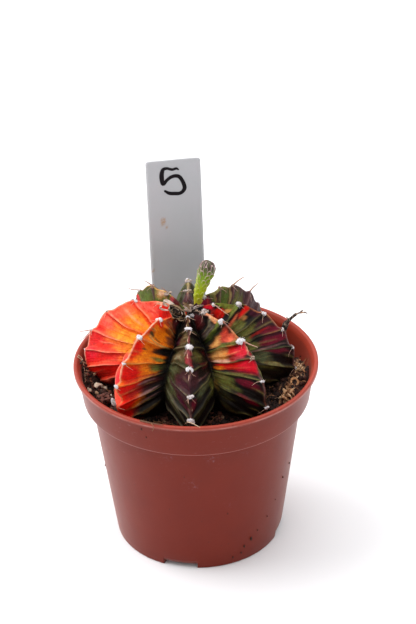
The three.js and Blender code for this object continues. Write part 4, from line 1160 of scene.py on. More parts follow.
def add_wool(heap, random, centre, basis, half, shade):
    """Ball of felt with loose fibres. The basis is along, down and out."""
    points, faces = ball(3)
    along, down, out = basis
    for i in range(6):
        swell = 1 + 0.5 * (fractal(points + random.uniform(0, 50, 3), 0.5, 4, 9) - 0.5) * 2
        size = random.uniform(0.45, 0.68, 3) * np.array(half)
        off = random.uniform(-0.5, 0.5, 3) * np.array(half) * (i > 0)
        off[2] += 0.2 * half[2]
        tone = np.clip(shade + random.normal(0, 0.12), 0, 1)
        heap.add(centre + (points * swell[:, None] * size + off) @ basis, faces, tone)
    for _ in range(int(26 + 26 * half[0])):
        a = random.uniform(0, 2 * math.pi)
        rise = random.uniform(0.0, 0.95)
        aim = math.cos(a) * along * half[0] + math.sin(a) * down * half[1]
        start = centre + out * half[2] * (0.2 + 0.7 * rise) + aim * math.sqrt(1 - rise * rise) * 0.85
        curl = out * random.uniform(-0.15, 0.3) + aim * random.uniform(0.05, 0.28)
        curl = curl + random.normal(0, 0.12, 3)
        path = np.array([start, start + curl * 0.5, start + curl + random.normal(0, 0.07, 3)])
        heap.add(*rod(path, [0.05, 0.035, 0.01], 3), np.clip(shade + random.normal(0, 0.1), 0, 1))


def make_wool():
    random = np.random.default_rng(4)
    heap = Heap()
    for k, rib in enumerate(RIBS):
        for number in range(WOOLLY_AREOLES):
            centre, out, down, along = areole_frame(k, number)
            room = pot_inner_radius(min(centre[2], POT_HEIGHT)) - math.hypot(centre[0], centre[1])
            if centre[2] < POT_HEIGHT and room < 0.9:
                continue
            wide = WOOL[rib["name"]][number]
            if not wide:
                continue
            half = (0.98 * wide, wide * random.uniform(0.68, 0.9), 0.27 + 0.38 * wide)
            areole = (rib["name"], number)
            shade = random.uniform(0.1, 0.35) if areole in CREAM_WOOL else random.uniform(0.65, 0.95)
            shift, half = WOOL_SHIFTS.get(areole, ((0, 0, 0), half))
            add_wool(heap, random, centre + out * 0.1 + shift, np.stack([along, down, out]), half, shade)
    for at, half, shade in CROWN_WOOL:
        add_wool(heap, random, from_rim(at), np.eye(3), half, shade)
    wool = heap.build("areole_wool")
    finish_piece(wool, material("wool", shade_wool), "cactus_body")


# Spines that stand out in the view: rib, areole number, tip from the pot's axis and the rim, base radius
CHOSEN_SPINES = [
    ("F", 2, (13.4, 12.4, 17.8), 0.18), ("F", 3, (17.4, 17.0, 13.2), 0.16),
    ("H", 1, (-13.2, 11.0, 18.2), 0.14), ("H", 2, (-17.6, 12.6, 15.0), 0.12),
    ("A", 3, (-30.6, 3.0, 7.6), 0.12), ("A", 3, (-31.0, 1.4, 5.4), 0.1),
    ("D", 2, (15.9, -13.5, 11.6), 0.16), ("H", 0, (-8.5, 4.8, 19.4), 0.13),
    ("E", 0, (8.8, -3.8, 15.6), 0.1),
]


# Pale lines beside the edge of the rib in front
LINED_RIB = "C"
LINED_AREOLES = 5


def add_spine(heap, random, foot, tip, radius, shade):
    middle = (foot + tip) / 2 + random.normal(0, 0.045, 3) * np.linalg.norm(tip - foot)
    path = smooth_path([foot, middle, tip], 4)
    heap.add(*rod(path, radius * np.linspace(1, 0.45, len(path)), 5), shade)


def edge_line(k, first, last, steps):
    """Points along a rib's edge between two levels."""
    levels = np.linspace(first, last, steps)
    return (rib_points(k, -1, 1.0, levels) + rib_points(k, 1, 1.0, levels)) / 2


def make_spines():
    random = np.random.default_rng(12)
    heap = Heap()
    for k, rib in enumerate(RIBS):
        for number in range(WOOLLY_AREOLES):
            centre, out, down, along = areole_frame(k, number)
            for side in (-1, 1):
                aim = out * random.uniform(0.2, 0.5) + down * random.uniform(0.1, 0.9)
                aim = aim + along * side * random.uniform(0.3, 0.8)
                tip = centre + aim / np.linalg.norm(aim) * random.uniform(1.6, 3.2)
                if math.hypot(tip[0], tip[1]) < RIM_RADIUS - 0.5 and tip[2] > POT_HEIGHT - 6:
                    add_spine(heap, random, centre, tip, 0.07, random.uniform(0, 0.6))
    index = {rib["name"]: k for k, rib in enumerate(RIBS)}
    for name, number, tip, radius in CHOSEN_SPINES:
        centre = areole_frame(index[name], number)[0]
        add_spine(heap, random, centre, from_rim(tip), 1.5 * radius, random.uniform(0.45, 0.7))
    lined = index[LINED_RIB]
    for number in range(LINED_AREOLES):
        line = edge_line(lined, number + 1.1, number + 1.75 + 0.1 * (number % 2), 14)
        out = areole_frame(lined, number)[1]
        line = line + out * 0.38
        line[:, 0] += 0.35 * np.sin(np.linspace(0, 5.5, 14) + number)
        heap.add(*rod(line, np.linspace(0.16, 0.08, 14), 5), 0.3)
    spines = heap.build("spines")
    finish_piece(spines, material("spine", shade_spine), "cactus_body")


# Bud: its middle line from the pot's axis and the rim, its radius along it, and its scales
BUD_LINE = [
    (0.75, 3, 14.35), (1.12, 3.1, 17.7), (1.95, 3.2, 20.7), (3.1, 3.4, 24.2), (4.05, 3.6, 27.75),
]
BUD_RADIUS = [
    (0, 0.92), (0.1, 0.98), (0.3, 1.27), (0.55, 1.62), (0.7, 1.88), (0.8, 2.08), (0.88, 1.95),
    (0.94, 1.5), (0.985, 0.8), (1, 0.2),
]
BUD_LENGTH = 15.0
BUD_SCALES = 58
SCALE_LENGTH = 1.6
SCALE_WIDTH = 0.78


def bud_frames(s):
    """Centre, two cross directions and the direction of the bud's middle line at shares along it."""
    line = smooth_path(from_rim(BUD_LINE), 40)
    place_on = np.asarray(s) * (len(line) - 1)
    k = np.clip(place_on.astype(int), 0, len(line) - 2)
    f = (place_on - k)[..., None]
    centre = line[k] * (1 - f) + line[k + 1] * f
    ahead = np.gradient(line, axis=0)
    w = ahead[k] / np.linalg.norm(ahead[k], axis=-1, keepdims=True)
    u = np.cross(np.array([0.0, 1.0, 0.0]), w)
    u /= np.linalg.norm(u, axis=-1, keepdims=True)
    return centre, u, np.cross(w, u), w


def bud_surface(s, turn, lift):
    centre, u, v, _ = bud_frames(s)
    radius = (curve_at(BUD_RADIUS, s) + lift)[..., None]
    ribbing = 1 + 0.03 * np.cos(8 * turn)[..., None]
    return centre + radius * ribbing * (np.cos(turn)[..., None] * u + np.sin(turn)[..., None] * v)


def make_bud_body():
    rows, columns = 70, 48
    s, turn = crossed(np.linspace(0, 1, rows), circle(columns))
    spots = np.stack([s * 9, np.cos(turn), np.sin(turn)], -1)
    skin = bud_surface(s, turn, 0.06 * (fractal(spots, 0.5, 3, 2) - 0.5))
    ends = bud_frames(np.array([0.0, 1.0]))[0] + [[0, 0, 0], [0, 0, 0.12]]
    points = np.vstack([skin.reshape(-1, 3), ends])
    along = np.append(s.ravel(), [0, 1])
    return points, tube_faces(rows, columns), along, np.zeros(len(points))


def make_bud_scale(s, turn, size):
    """One pointed scale that hugs the bud, with a mask for its papery margin."""
    rows, columns = 9, 9
    f, g = crossed(np.linspace(0, 1, rows), np.linspace(-1, 1, columns))
    width = SCALE_WIDTH * size * np.sqrt(np.clip(1 - f, 0, 1)) * (0.72 + 0.55 * f)
    radius = float(curve_at(BUD_RADIUS, s))
    at = np.clip(s + f * SCALE_LENGTH * size / BUD_LENGTH, 0, 0.995)
    around = turn + g * width / max(radius, 1.0)
    lift = 0.05 + 0.28 * f * size * (1 - 0.4 * g * g)
    outer = bud_surface(at, around, lift + 0.07)
    inner = bud_surface(at, around, lift - 0.1 - 0.05 * f)
    margin = np.maximum(np.abs(g) ** 4, smoothstep(f, 0.68, 0.98)) * (f > 0.1)
    masks = np.tile(at.ravel(), 2), np.tile(margin.ravel(), 2)
    return both_sides(outer, inner), sheet_faces(rows, columns), *masks


def make_bud():
    random = np.random.default_rng(8)
    parts = [make_bud_body()]
    for i in range(BUD_SCALES):
        f = i / (BUD_SCALES - 1)
        s = 0.1 + 0.82 * f ** 0.72
        size = (0.62 + 0.38 * smoothstep(s, 0.3, 0.75)) * random.uniform(0.9, 1.1)
        parts.append(make_bud_scale(s, 2.39996 * i + random.normal(0, 0.12), size))
    first = 0
    points, faces, along, margin = [], [], [], []
    for part_points, part_faces, part_along, part_margin in parts:
        points.append(part_points)
        faces += [tuple(first + i for i in face) for face in part_faces]
        first += len(part_points)
        along.append(part_along)
        margin.append(part_margin)
    masks = {"along": np.concatenate(along), "margin": np.concatenate(margin)}
    bud = mesh_object("bud", np.concatenate(points), faces, masks=masks)
    finish_piece(bud, material("bud_skin", shade_bud), "flower_bud")


def shade_bud(tree):
    along = mask(tree, "along")
    margin = mask(tree, "margin")
    base = blend(tree, remap(tree, along, 0.1, 0.32), srgb(200, 190, 50), srgb(174, 190, 8))
    base = overlaid(tree, base, (120, 152, 8), along, 0.4, 0.72)
    base = overlaid(tree, base, (66, 78, 24), along, 0.7, 0.92)
    base = blend(tree, times(tree, remap(tree, along, 0.8, 0.95), 0.85), base, srgb(58, 30, 36))
    base = overlaid(tree, base, (98, 122, 14), grain(tree, 0.7, 4), 0.35, 0.65, 0.0, 0.25)
    base = overlaid(tree, base, (216, 190, 150), along, 0.07, 0.02)
    edge = blend(tree, remap(tree, along, 0.35, 0.85), srgb(214, 210, 120), srgb(206, 172, 172))
    base = blend(tree, times(tree, remap(tree, margin, 0.35, 0.8), 0.8), base, edge)
    normal = bump(tree, grain(tree, 0.3, 4), 0.03)
    return {
        "Base Color": base, "Roughness": 0.42, "Normal": normal, "Subsurface Weight": 0.12,
        "Subsurface Radius": (0.6, 0.8, 0.2), "Subsurface Scale": 0.001,
    }


# Spent flower: a dry cup of torn strips, with threads inside
FLOWER_FOOT = (-4.08, -0.95, 15.56)
FLOWER_AIM = (-0.16, -0.902, 0.401)
FLOWER_LONG = (0.746, -0.377, -0.549)
FLOWER_LENGTH = 3.6
FLOWER_RADIUS = 2.8
FLOWER_NECK = 1.0
FLOWER_FLATNESS = 0.58
FLOWER_THREADS = 22


def flower_point(turn, rise, out):
    """Points of the cup. rise runs from the foot (0) to the rim (1)."""
    aim = np.array(FLOWER_AIM) / np.linalg.norm(FLOWER_AIM)
    short = np.cross(aim, FLOWER_LONG)
    short /= np.linalg.norm(short)
    foot = from_rim(FLOWER_FOOT)
    turn, rise, out = np.broadcast_arrays(turn, rise, out)
    radius = FLOWER_NECK + (FLOWER_RADIUS - FLOWER_NECK) * np.sin(np.clip(rise, 0, 1.3) * 1.45) + out
    across = np.cos(turn)[..., None] * np.cross(short, aim)
    across = across + FLOWER_FLATNESS * np.sin(turn)[..., None] * short
    return foot + radius[..., None] * across + (rise * FLOWER_LENGTH)[..., None] * aim


def make_cup_wall(heap):
    """Withered wall of the cup, with a ragged rim that curls in at places."""
    rows, columns = 16, 90
    f, turn = crossed(np.linspace(0, 1, rows), circle(columns))
    spots = np.stack([3.2 * np.cos(turn), 3.2 * np.sin(turn), 0.6 * f], -1)
    ragged = 1 + 0.16 * (fractal(spots, 0.9, 3, 5) - 0.5) * 2
    folds = 0.3 * (fractal(spots * [1.6, 1.6, 0.6], 0.8, 3, 9) - 0.5) * f
    curl = -0.55 * smoothstep(f, 0.8, 1.0) * smoothstep(fractal(spots, 1.5, 2, 14), 0.42, 0.62)
    outer = flower_point(turn, f * ragged, folds + curl + 0.07)
    inner = flower_point(turn, f * ragged, folds + curl - 0.07)
    points = np.concatenate([outer[::-1], inner])
    total = 2 * rows
    last = (total - 1) * columns
    faces = grid_faces(total, columns)
    faces += [(last + c, c, (c + 1) % columns, last + (c + 1) % columns) for c in range(columns)]
    faces = [tuple(reversed(face)) for face in faces]
    shade = 0.2 + 0.36 * smoothstep(f, 0.86, 1.0) + 0.5 * (fractal(spots, 0.5, 3, 3) - 0.5)
    # Painted shade: the inner face below the rim is painted near black, as the shade inside the cup
    shades = np.concatenate([shade[::-1], np.where(f > 0.93, shade, 0.04)])
    heap.add(points.reshape(-1, 3), faces, np.clip(shades.ravel(), 0, 1))


def add_curls(heap, random):
    """Dry curled threads in the cup."""
    for _ in range(FLOWER_THREADS):
        turn = random.uniform(0, 2 * math.pi)
        share = random.uniform(0.15, 0.95)
        path = []
        for step in range(6):
            turn += random.normal(0, 0.35)
            deep = 0.3 + 0.13 * step + random.normal(0, 0.03)
            reach = share * FLOWER_RADIUS * (0.55 + 0.08 * step)
            path.append(flower_point(turn, deep, reach - FLOWER_RADIUS * math.sin(1.45 * deep)))
        path = smooth_path(path, 4)
        thick = random.uniform(0.09, 0.2)
        thread = rod(path, np.linspace(thick, thick * 0.6, len(path)), 5)
        heap.add(*thread, random.choice([0.3, 0.5, 0.62, 0.75]))


# Withered petals at the cup: middle line from the pot's axis and the rim, half width, shade
PAPER_PETALS = [
    ([(-5.1, -0.6, 16.9), (-6.2, -0.3, 17.6), (-7.2, 0.1, 18.1), (-8.0, 0.3, 18.2)], 0.5, 0.95),
    ([(-7.0, -0.6, 16.9), (-7.8, -0.3, 17.3), (-8.1, 0.0, 18.0)], 0.35, 0.75),
    ([(-6.8, -1.6, 16.2), (-8.2, -1.5, 16.4), (-9.0, -1.6, 17.1), (-8.5, -1.9, 17.7)], 0.26, 0.95),
    ([(-3.0, -1.0, 18.0), (-2.0, -0.9, 17.3), (-1.2, -1.2, 16.2)], 0.4, 0.5),
]


def add_petal(heap, line, half, shade, seed):
    """Curled papery strip along a line."""
    path = smooth_path(from_rim(line), 8)
    rows, columns = len(path), 7
    ahead = np.gradient(path, axis=0)
    ahead /= np.linalg.norm(ahead, axis=1, keepdims=True)
    side = np.cross(ahead, [0.0, 0.86, -0.51])
    side /= np.linalg.norm(side, axis=1, keepdims=True)
    front = np.cross(side, ahead)
    f, g = crossed(np.linspace(0, 1, rows), np.linspace(-1, 1, columns))
    ragged = 0.75 + 0.5 * fractal(np.stack([9 * f, 3 * g, f * 0], -1), 1.0, 3, seed)
    wide = half * np.sin(np.clip(math.pi * (0.12 + 0.82 * f), 0, math.pi)) ** 0.6 * ragged
    cup = 0.35 * half * (g * g - 0.4) + 0.12 * np.sin(8 * f + 3 * g + seed)
    middle = path[:, None] + (g * wide)[..., None] * side[:, None]
    outer = middle - (cup + 0.05)[..., None] * front[:, None]
    inner = middle - (cup - 0.05)[..., None] * front[:, None]
    shades = np.tile((shade - 0.3 * (np.abs(g) > 0.9) + 0.25 * (ragged - 1)).ravel(), 2)
    heap.add(both_sides(outer, inner), sheet_faces(rows, columns), np.clip(shades, 0, 1))


def make_spent_flower():
    random = np.random.default_rng(21)
    heap = Heap()
    make_cup_wall(heap)
    add_curls(heap, random)
    for i, (line, half, shade) in enumerate(PAPER_PETALS):
        add_petal(heap, line, half, shade, 30 + i)
    points, faces = lump((1.5, 1.5, 1.1), 0, 3, 0.25, 5)
    heap.add(points + flower_point(0.0, 0.3, -FLOWER_NECK - 1.4), faces, 0.0)
    flower = heap.build("spent_flower")
    finish_piece(flower, material("dry_petal", shade_dry), "dried_flower")


def shade_dry(tree):
    shade = mask(tree, "shade")
    base = blend(tree, remap(tree, shade, 0.06, 0.45), srgb(18, 11, 9), srgb(140, 108, 72))
    base = overlaid(tree, base, (226, 212, 198), shade, 0.45, 0.95)
    base = overlaid(tree, base, (96, 62, 44), grain(tree, 0.4, 4), 0.4, 0.65, 0.0, 0.36)
    normal = bump(tree, grain(tree, 0.25, 4, 0.6), 0.06)
    return {"Base Color": base, "Roughness": 0.8, "Normal": normal}


# Label: a strip in its own directions u (across), v (up) and w (to the front)
LABEL_WIDTH = 14.7
LABEL_LENGTH = 72.2
LABEL_POINT = 10.0
LABEL_THICKNESS = 0.6
LABEL_CORNER = 0.8
LABEL_FOOT = (-3.5, 21.8, 26.0)
LABEL_YAW = 7.4
LABEL_ROLL = 0.6
LABEL_LEAN = 3.8
# Marker stroke of the number, as u and the depth below the label's top edge
NUMBER_STROKE = [
    (1.36, 2.83), (0.75, 2.48), (-0.33, 2.67), (-1.73, 2.19), (-2.72, 2.43), (-3.14, 3.54),
    (-3.21, 5.07), (-2.93, 6.63), (-1.89, 5.58), (-0.78, 4.82), (0.48, 4.56), (1.54, 4.96),
    (2.29, 6.18), (2.69, 7.38), (2.79, 8.35), (2.24, 9.27), (1.32, 9.72), (0.07, 9.63), (-1.36, 9.39),
    (-2.49, 8.64),
]
NUMBER_HALF_WIDTH = [
    0.2, 0.32, 0.34, 0.36, 0.46, 0.55, 0.56, 0.46, 0.42, 0.44, 0.46, 0.48, 0.48, 0.5, 0.5, 0.47, 0.46,
    0.48, 0.45, 0.3,
]
# Stains: u, depth below the top, half width, half height
STAINS = [
    (-3.5, 17.3, 0.7, 0.75), (-3.4, 18.2, 0.45, 0.35), (-2.62, 19.4, 0.42, 0.26),
    (-0.14, 22.1, 0.35, 0.3), (-6.82, 32, 0.3, 0.3),
]


def label_point(u, v, w):
    lean, yaw, roll = (math.radians(turn) for turn in (LABEL_LEAN, LABEL_YAW, LABEL_ROLL))
    u, v = u * math.cos(roll) - v * math.sin(roll), u * math.sin(roll) + v * math.cos(roll)
    bow = 0.22 * np.sin(v / LABEL_LENGTH * 7.5 + 0.6) + 0.12 * np.sin(u * 0.5 + v * 0.06) - 0.004 * u * u
    w = w + bow
    y = v * math.sin(lean) - w * math.cos(lean)
    z = v * math.cos(lean) + w * math.sin(lean)
    x0, y0, deep = LABEL_FOOT
    x = u * math.cos(yaw) - y * math.sin(yaw) + x0
    return np.stack([x, u * math.sin(yaw) + y * math.cos(yaw) + y0, z + POT_HEIGHT - deep], -1)


def label_half_width(v):
    half = LABEL_WIDTH / 2
    top = np.clip(v - (LABEL_LENGTH - LABEL_CORNER), 0, LABEL_CORNER)
    corner = LABEL_CORNER - np.sqrt(np.clip(LABEL_CORNER ** 2 - top ** 2, 0, None))
    return np.where(v < LABEL_POINT, half * (0.02 + 0.98 * v / LABEL_POINT), half - corner)


def make_label():
    straight = LABEL_LENGTH - LABEL_CORNER
    rounding = straight + LABEL_CORNER * np.sin(np.linspace(0.2, 1.57, 7))
    heights = np.concatenate([np.linspace(0, straight, 90), rounding])
    v, f = crossed(heights, np.linspace(-1, 1, 25))
    u = f * label_half_width(v)
    half = LABEL_THICKNESS / 2
    soft = 0.12 * np.clip((np.abs(f) - 0.94) / 0.06, 0, 1) ** 2
    front = label_point(u, v, half - soft)
    back = label_point(u, v, soft - half)
    stained = np.zeros(v.shape)
    for at_u, below, wide, tall in STAINS:
        off = np.hypot((u - at_u) / wide, (LABEL_LENGTH - v - below) / tall)
        stained = np.maximum(stained, smoothstep(1.25 - off, 0, 0.5))
    dirt = smoothstep(LABEL_LENGTH - v, 38, 52) * 0.5
    masks = {
        "stain": np.concatenate([stained.ravel(), 0 * stained.ravel()]), "low": np.tile(dirt.ravel(), 2),
        "rise": np.tile((v / LABEL_LENGTH).ravel(), 2),
    }
    label = mesh_object("label_strip", both_sides(front, back), sheet_faces(*v.shape), masks=masks)
    finish_piece(label, material("label_plastic", shade_label), "plant_label")


def shade_label(tree):
    stain = mask(tree, "stain")
    rise = mask(tree, "rise")
    # Painted light and shade: darker towards the top and paler lower down, to even out how the light falls
    # on the label
    base = blend(tree, remap(tree, rise, 0.4, 0.65), srgb(183, 183, 186), srgb(165, 166, 169))
    base = overlaid(tree, base, (172, 168, 173), grain(tree, 6, 3), 0.35, 0.7, 0.0, 0.3)
    stained = times(tree, stain, remap(tree, grain(tree, 0.7, 4), 0.35, 0.55, 0.35, 1.0))
    base = blend(tree, stained, base, srgb(160, 132, 106))
    muddy = times(tree, mask(tree, "low"), remap(tree, grain(tree, 1.5, 5), 0.4, 0.65))
    base = blend(tree, muddy, base, srgb(120, 100, 88))
    normal = bump(tree, grain(tree, 3, 3, 0.5), 0.06, bump(tree, grain(tree, 0.25, 3), 0.006))
    return {
        "Base Color": base, "Roughness": 0.45, "Normal": normal, "Subsurface Weight": 0.25,
        "Subsurface Radius": (1, 1, 1), "Subsurface Scale": 0.003, "Specular IOR Level": 0.3,
    }


def make_number():
    """Marker stroke of the number, as a flat band just proud of the label."""
    knots = np.array([(*p, w) for p, w in zip(NUMBER_STROKE, NUMBER_HALF_WIDTH)])
    line = smooth_path(knots, 5)
    u, below, half = line.T * np.array([[1], [1], [1.1]])
    ahead = np.gradient(np.stack([u, -below], 1), axis=0)
    side = np.stack([-ahead[:, 1], ahead[:, 0]], 1)
    side /= np.linalg.norm(side, axis=1, keepdims=True)
    rows = []
    for share in np.linspace(-1, 1, 7):
        lift = LABEL_THICKNESS / 2 + 0.035 - 0.02 * share ** 2
        out = side * (half * share)[:, None]
        rows.append(label_point(u + out[:, 0], LABEL_LENGTH - below + out[:, 1], lift))
    ends = []
    for i, direction in ((0, -1), (-1, 1)):
        forward = direction * ahead[i] / np.linalg.norm(ahead[i])
        turns = np.linspace(-math.pi / 2, math.pi / 2, 9)[:, None]
        out = half[i] * (np.cos(turns) * forward + np.sin(turns) * side[i])
        lift = LABEL_THICKNESS / 2 + 0.025
        ends.append(label_point(u[i] + out[:, 0], LABEL_LENGTH - below[i] + out[:, 1], lift))
    count = len(u)
    points = np.vstack([*rows, *ends])
    faces = []
    for r in range(6):
        for c in range(count - 1):
            a = r * count + c
            faces.append((a, a + 1, a + count + 1, a + count))
    first = 7 * count
    faces.append(tuple(first + i for i in range(9)))
    faces.append(tuple(first + 9 + i for i in reversed(range(9))))
    number = mesh_object("number", points, faces)
    finish_piece(number, material("marker_ink", shade_ink), "plant_label")


def shade_ink(tree):
    worn = remap(tree, grain(tree, 0.35, 4), 0.45, 0.75, 0.0, 0.45)
    base = blend(tree, worn, srgb(8, 2, 7), srgb(34, 8, 22))
    return {"Base Color": base, "Roughness": 0.7, "Specular IOR Level": 0.2}


# Soil
SOIL_EDGE_GAP = 0.05


def soil_height(x, y):
    waves = np.sin(0.62 * x + 1.3) * np.cos(0.55 * y - 0.4) + 0.6 * np.sin(1.35 * x - 0.9 * y)
    heaps = sum(
        tall * np.exp(-((x - at_x) ** 2 + (y - at_y) ** 2) / spread)
        for at_x, at_y, tall, spread in SOIL_HEAPS
    )
    return POT_HEIGHT - SOIL_DEPTH + SOIL_LUMP * waves + heaps


def rough_soil_height(x, y):
    spot = np.stack([x, y, 0 * x], -1)
    coarse, fine = fractal(spot, 2.6, 4, 60) - 0.5, fractal(spot, 0.7, 3, 61) - 0.5
    return soil_height(x, y) + 1.7 * coarse + 0.5 * fine


def make_soil():
    """Plug of soil: a lumpy top that follows the wall, over a plain side and bottom."""
    columns = 220
    turns = circle(columns)
    around = np.stack([np.cos(turns), np.sin(turns)])
    edge = np.full(columns, BODY_TOP_RADIUS)
    for _ in range(3):
        edge = pot_inner_radius(rough_soil_height(*(edge * around))) - SOIL_EDGE_GAP
    shares = [np.linspace(0.1, 0.5, 14, endpoint=False), np.linspace(0.5, 1, 64)]
    shares = np.concatenate(shares)[::-1, None]
    x, y = shares * edge * around[0], shares * edge * around[1]
    top = np.stack([x, y, rough_soil_height(x, y)], -1)
    step_height = COLLAR_FOOT + WALL
    levels = [top[0, :, 2] * f + step_height * (1 - f) for f in (0.75, 0.4, 0.02)]
    heights = (COLLAR_FOOT - 1, 30, 20, 10, FLOOR_TOP + 1.2, FLOOR_TOP + 0.4)
    levels += [np.full(columns, z) for z in heights]
    sides = []
    for level in levels:
        radius = pot_inner_radius(level) - 0.3
        sides.append(np.stack([radius * around[0], radius * around[1], level], -1))
    rings = np.concatenate([np.array(sides)[::-1], top])
    middle = float(rough_soil_height(np.array(0.0), np.array(0.0)))
    points = np.vstack([rings.reshape(-1, 3), [[0, 0, FLOOR_TOP + 0.4]], [[0, 0, middle]]])
    soil = mesh_object("soil_bed", points, tube_faces(len(rings), columns))
    finish_piece(soil, material("soil_dark", shade_soil), "soil")


def shade_soil(tree):
    spots = grain(tree, 0.9, 6, 0.7)
    base = blend(tree, remap(tree, spots, 0.4, 0.66), srgb(20, 12, 10), srgb(74, 43, 35))
    base = overlaid(tree, base, (126, 92, 70), grain(tree, 0.3, 3), 0.62, 0.74, 0, 0.6)
    normal = bump(tree, grain(tree, 0.3, 5, 0.7), 0.25, bump(tree, grain(tree, 1.1, 4, 0.6), 0.5))
    return {"Base Color": base, "Roughness": 0.85, "Normal": normal, "Specular IOR Level": 0.35}


def shade_crumbs(tree):
    shade = mask(tree, "shade")
    base = blend(tree, remap(tree, shade, 0.0, 0.7), srgb(34, 19, 15), srgb(122, 70, 54))
    base = overlaid(tree, base, (186, 150, 118), shade, 0.8, 1.0)
    base = overlaid(tree, base, (22, 13, 10), grain(tree, 0.35, 4), 0.4, 0.66, 0.0, 0.55)
    normal = bump(tree, grain(tree, 0.22, 4, 0.7), 0.16)
    return {"Base Color": base, "Roughness": 0.85, "Normal": normal, "Specular IOR Level": 0.35}


def soil_spot(random, inner, outer, arc=(0, 360)):
    turn = math.radians(random.uniform(*arc))
    radius = math.sqrt(random.uniform(inner ** 2, outer ** 2))
    return radius * math.cos(turn), radius * math.sin(turn)


def outside_plant(tree, point, room):
    """Whether a point is at least so far outside the plant."""
    found = tree.find_nearest(Vector(point) * MM)
    away = Vector(point) * MM - found[0]
    return away.dot(found[1]) > 0 and away.length > room * MM


def plant_tree():
    mesh = bpy.data.objects["plant"].data
    corners = [v.co.copy() for v in mesh.vertices]
    return BVHTree.FromPolygons(corners, [tuple(p.vertices) for p in mesh.polygons])


# Crumbs: first those all over, then smaller ones up the wall at the left
CRUMBS_ALL_OVER = 1550
CRUMBS_AT_LEFT = 200
LEFT_ARC = (160, 200)


def make_crumbs():
    random = np.random.default_rng(31)
    plant = plant_tree()
    heap = Heap()
    placed = 0
    kept_clear = [(at, max(half) + 0.1) for at, half, _, _ in BARK_CHIPS]
    kept_clear.append((HUSK_RING[0], HUSK_CLEARANCE))
    while placed < CRUMBS_ALL_OVER + CRUMBS_AT_LEFT:
        at_left = placed > CRUMBS_ALL_OVER
        x, y = soil_spot(random, 27.5, 31, LEFT_ARC) if at_left else soil_spot(random, 9, 30.2)
        size = min(0.16 + random.gamma(2.0, 0.16), 1.25)
        z = float(rough_soil_height(np.array(x), np.array(y))) + 0.3 * size
        z += random.uniform(0, 0.5) * (random.random() < 0.4)
        if at_left:
            size = 0.5 * size
            z += random.uniform(0, 1.6) * smoothstep(math.hypot(x, y), 28, 30)
        in_wall = math.hypot(x, y) + size > pot_inner_radius(z) - 0.1
        if in_wall or not outside_plant(plant, (x, y, z), 0.6 * size):
            continue
        if size > 0.22 and any(math.hypot(x - at[0], y - at[1]) < reach for at, reach in kept_clear):
            continue
        half = size * random.uniform(0.6, 1.1, 3)
        points, faces = lump(half, random.uniform(0, 6.3), 2 if size > 0.55 else 1, 0.5, placed)
        light = random.random() < (0.16 if size < 0.3 else 0.02)
        # Painted shade: crumbs between x = 8 and 25 mm, under the ribs at the right, are drawn darker
        darker = 0.45 * float(smoothstep(x, 8, 15) * (1 - smoothstep(x, 20, 25)))
        shade = random.uniform(0.8, 1) if light else random.uniform(0, 0.65 - darker)
        heap.add(points + [x, y, z], faces, shade)
        placed += 1
    crumbs = heap.build("soil_crumbs")
    finish_piece(crumbs, material("crumb", shade_crumbs), "soil")


WALL_SPECKS = 240
# Specks on the outside of the pot: azimuth, height, half size
OUTER_SPECKS = [
    (183, 19.5, 0.35), (356, 38, 0.35), (340, 24, 0.28), (331, 22, 0.3), (300, 5.2, 0.4), (305, 7, 0.5),
    (298, 3.2, 0.3), (310, 9, 0.25), (318, 12, 0.25), (262, 33, 0.2), (287, 19, 0.22), (243, 49, 0.35),
    (245, 46.5, 0.28), (252, 21, 0.18), (292, 2.4, 0.35), (325, 16, 0.2),
]


def make_wall_dirt():
    """Specks of soil on the pot: on its inner wall, its lip and its outside."""
    random = np.random.default_rng(44)
    heap = Heap()
    for _ in range(WALL_SPECKS):
        turn = math.radians(random.uniform(0, 360))
        z = POT_HEIGHT - SOIL_DEPTH + 0.8 + random.exponential(1.4)
        if z > POT_HEIGHT - 1.5:
            continue
        size = random.uniform(0.1, 0.3)
        radius = pot_inner_radius(z) - 0.6 * size
        points, faces = lump(size * random.uniform(0.6, 1, 3), turn, 1, 0.4, int(turn * 100))
        spot = [radius * math.cos(turn), radius * math.sin(turn), z]
        heap.add(points + spot, faces, random.uniform(0, 0.6))
    for turn, height, size in OUTER_SPECKS:
        a = math.radians(turn)
        if height > COLLAR_FOOT:
            share = (height - COLLAR_FOOT) / COLLAR_DEPTH
            radius = COLLAR_BOTTOM_RADIUS + (COLLAR_TOP_RADIUS - COLLAR_BOTTOM_RADIUS) * share
        else:
            radius = FOOT_RADIUS + (BODY_TOP_RADIUS - FOOT_RADIUS) * height / COLLAR_FOOT
        radius += 0.35 * size
        points, faces = lump(size * np.array([0.8, 0.6, 1.1]), a, 2, 0.5, int(turn))
        heap.add(points + [radius * math.cos(a), radius * math.sin(a), height], faces, 0.25)
    dirt = heap.build("pot_specks")
    finish_piece(dirt, material("speck", shade_crumbs), "soil")


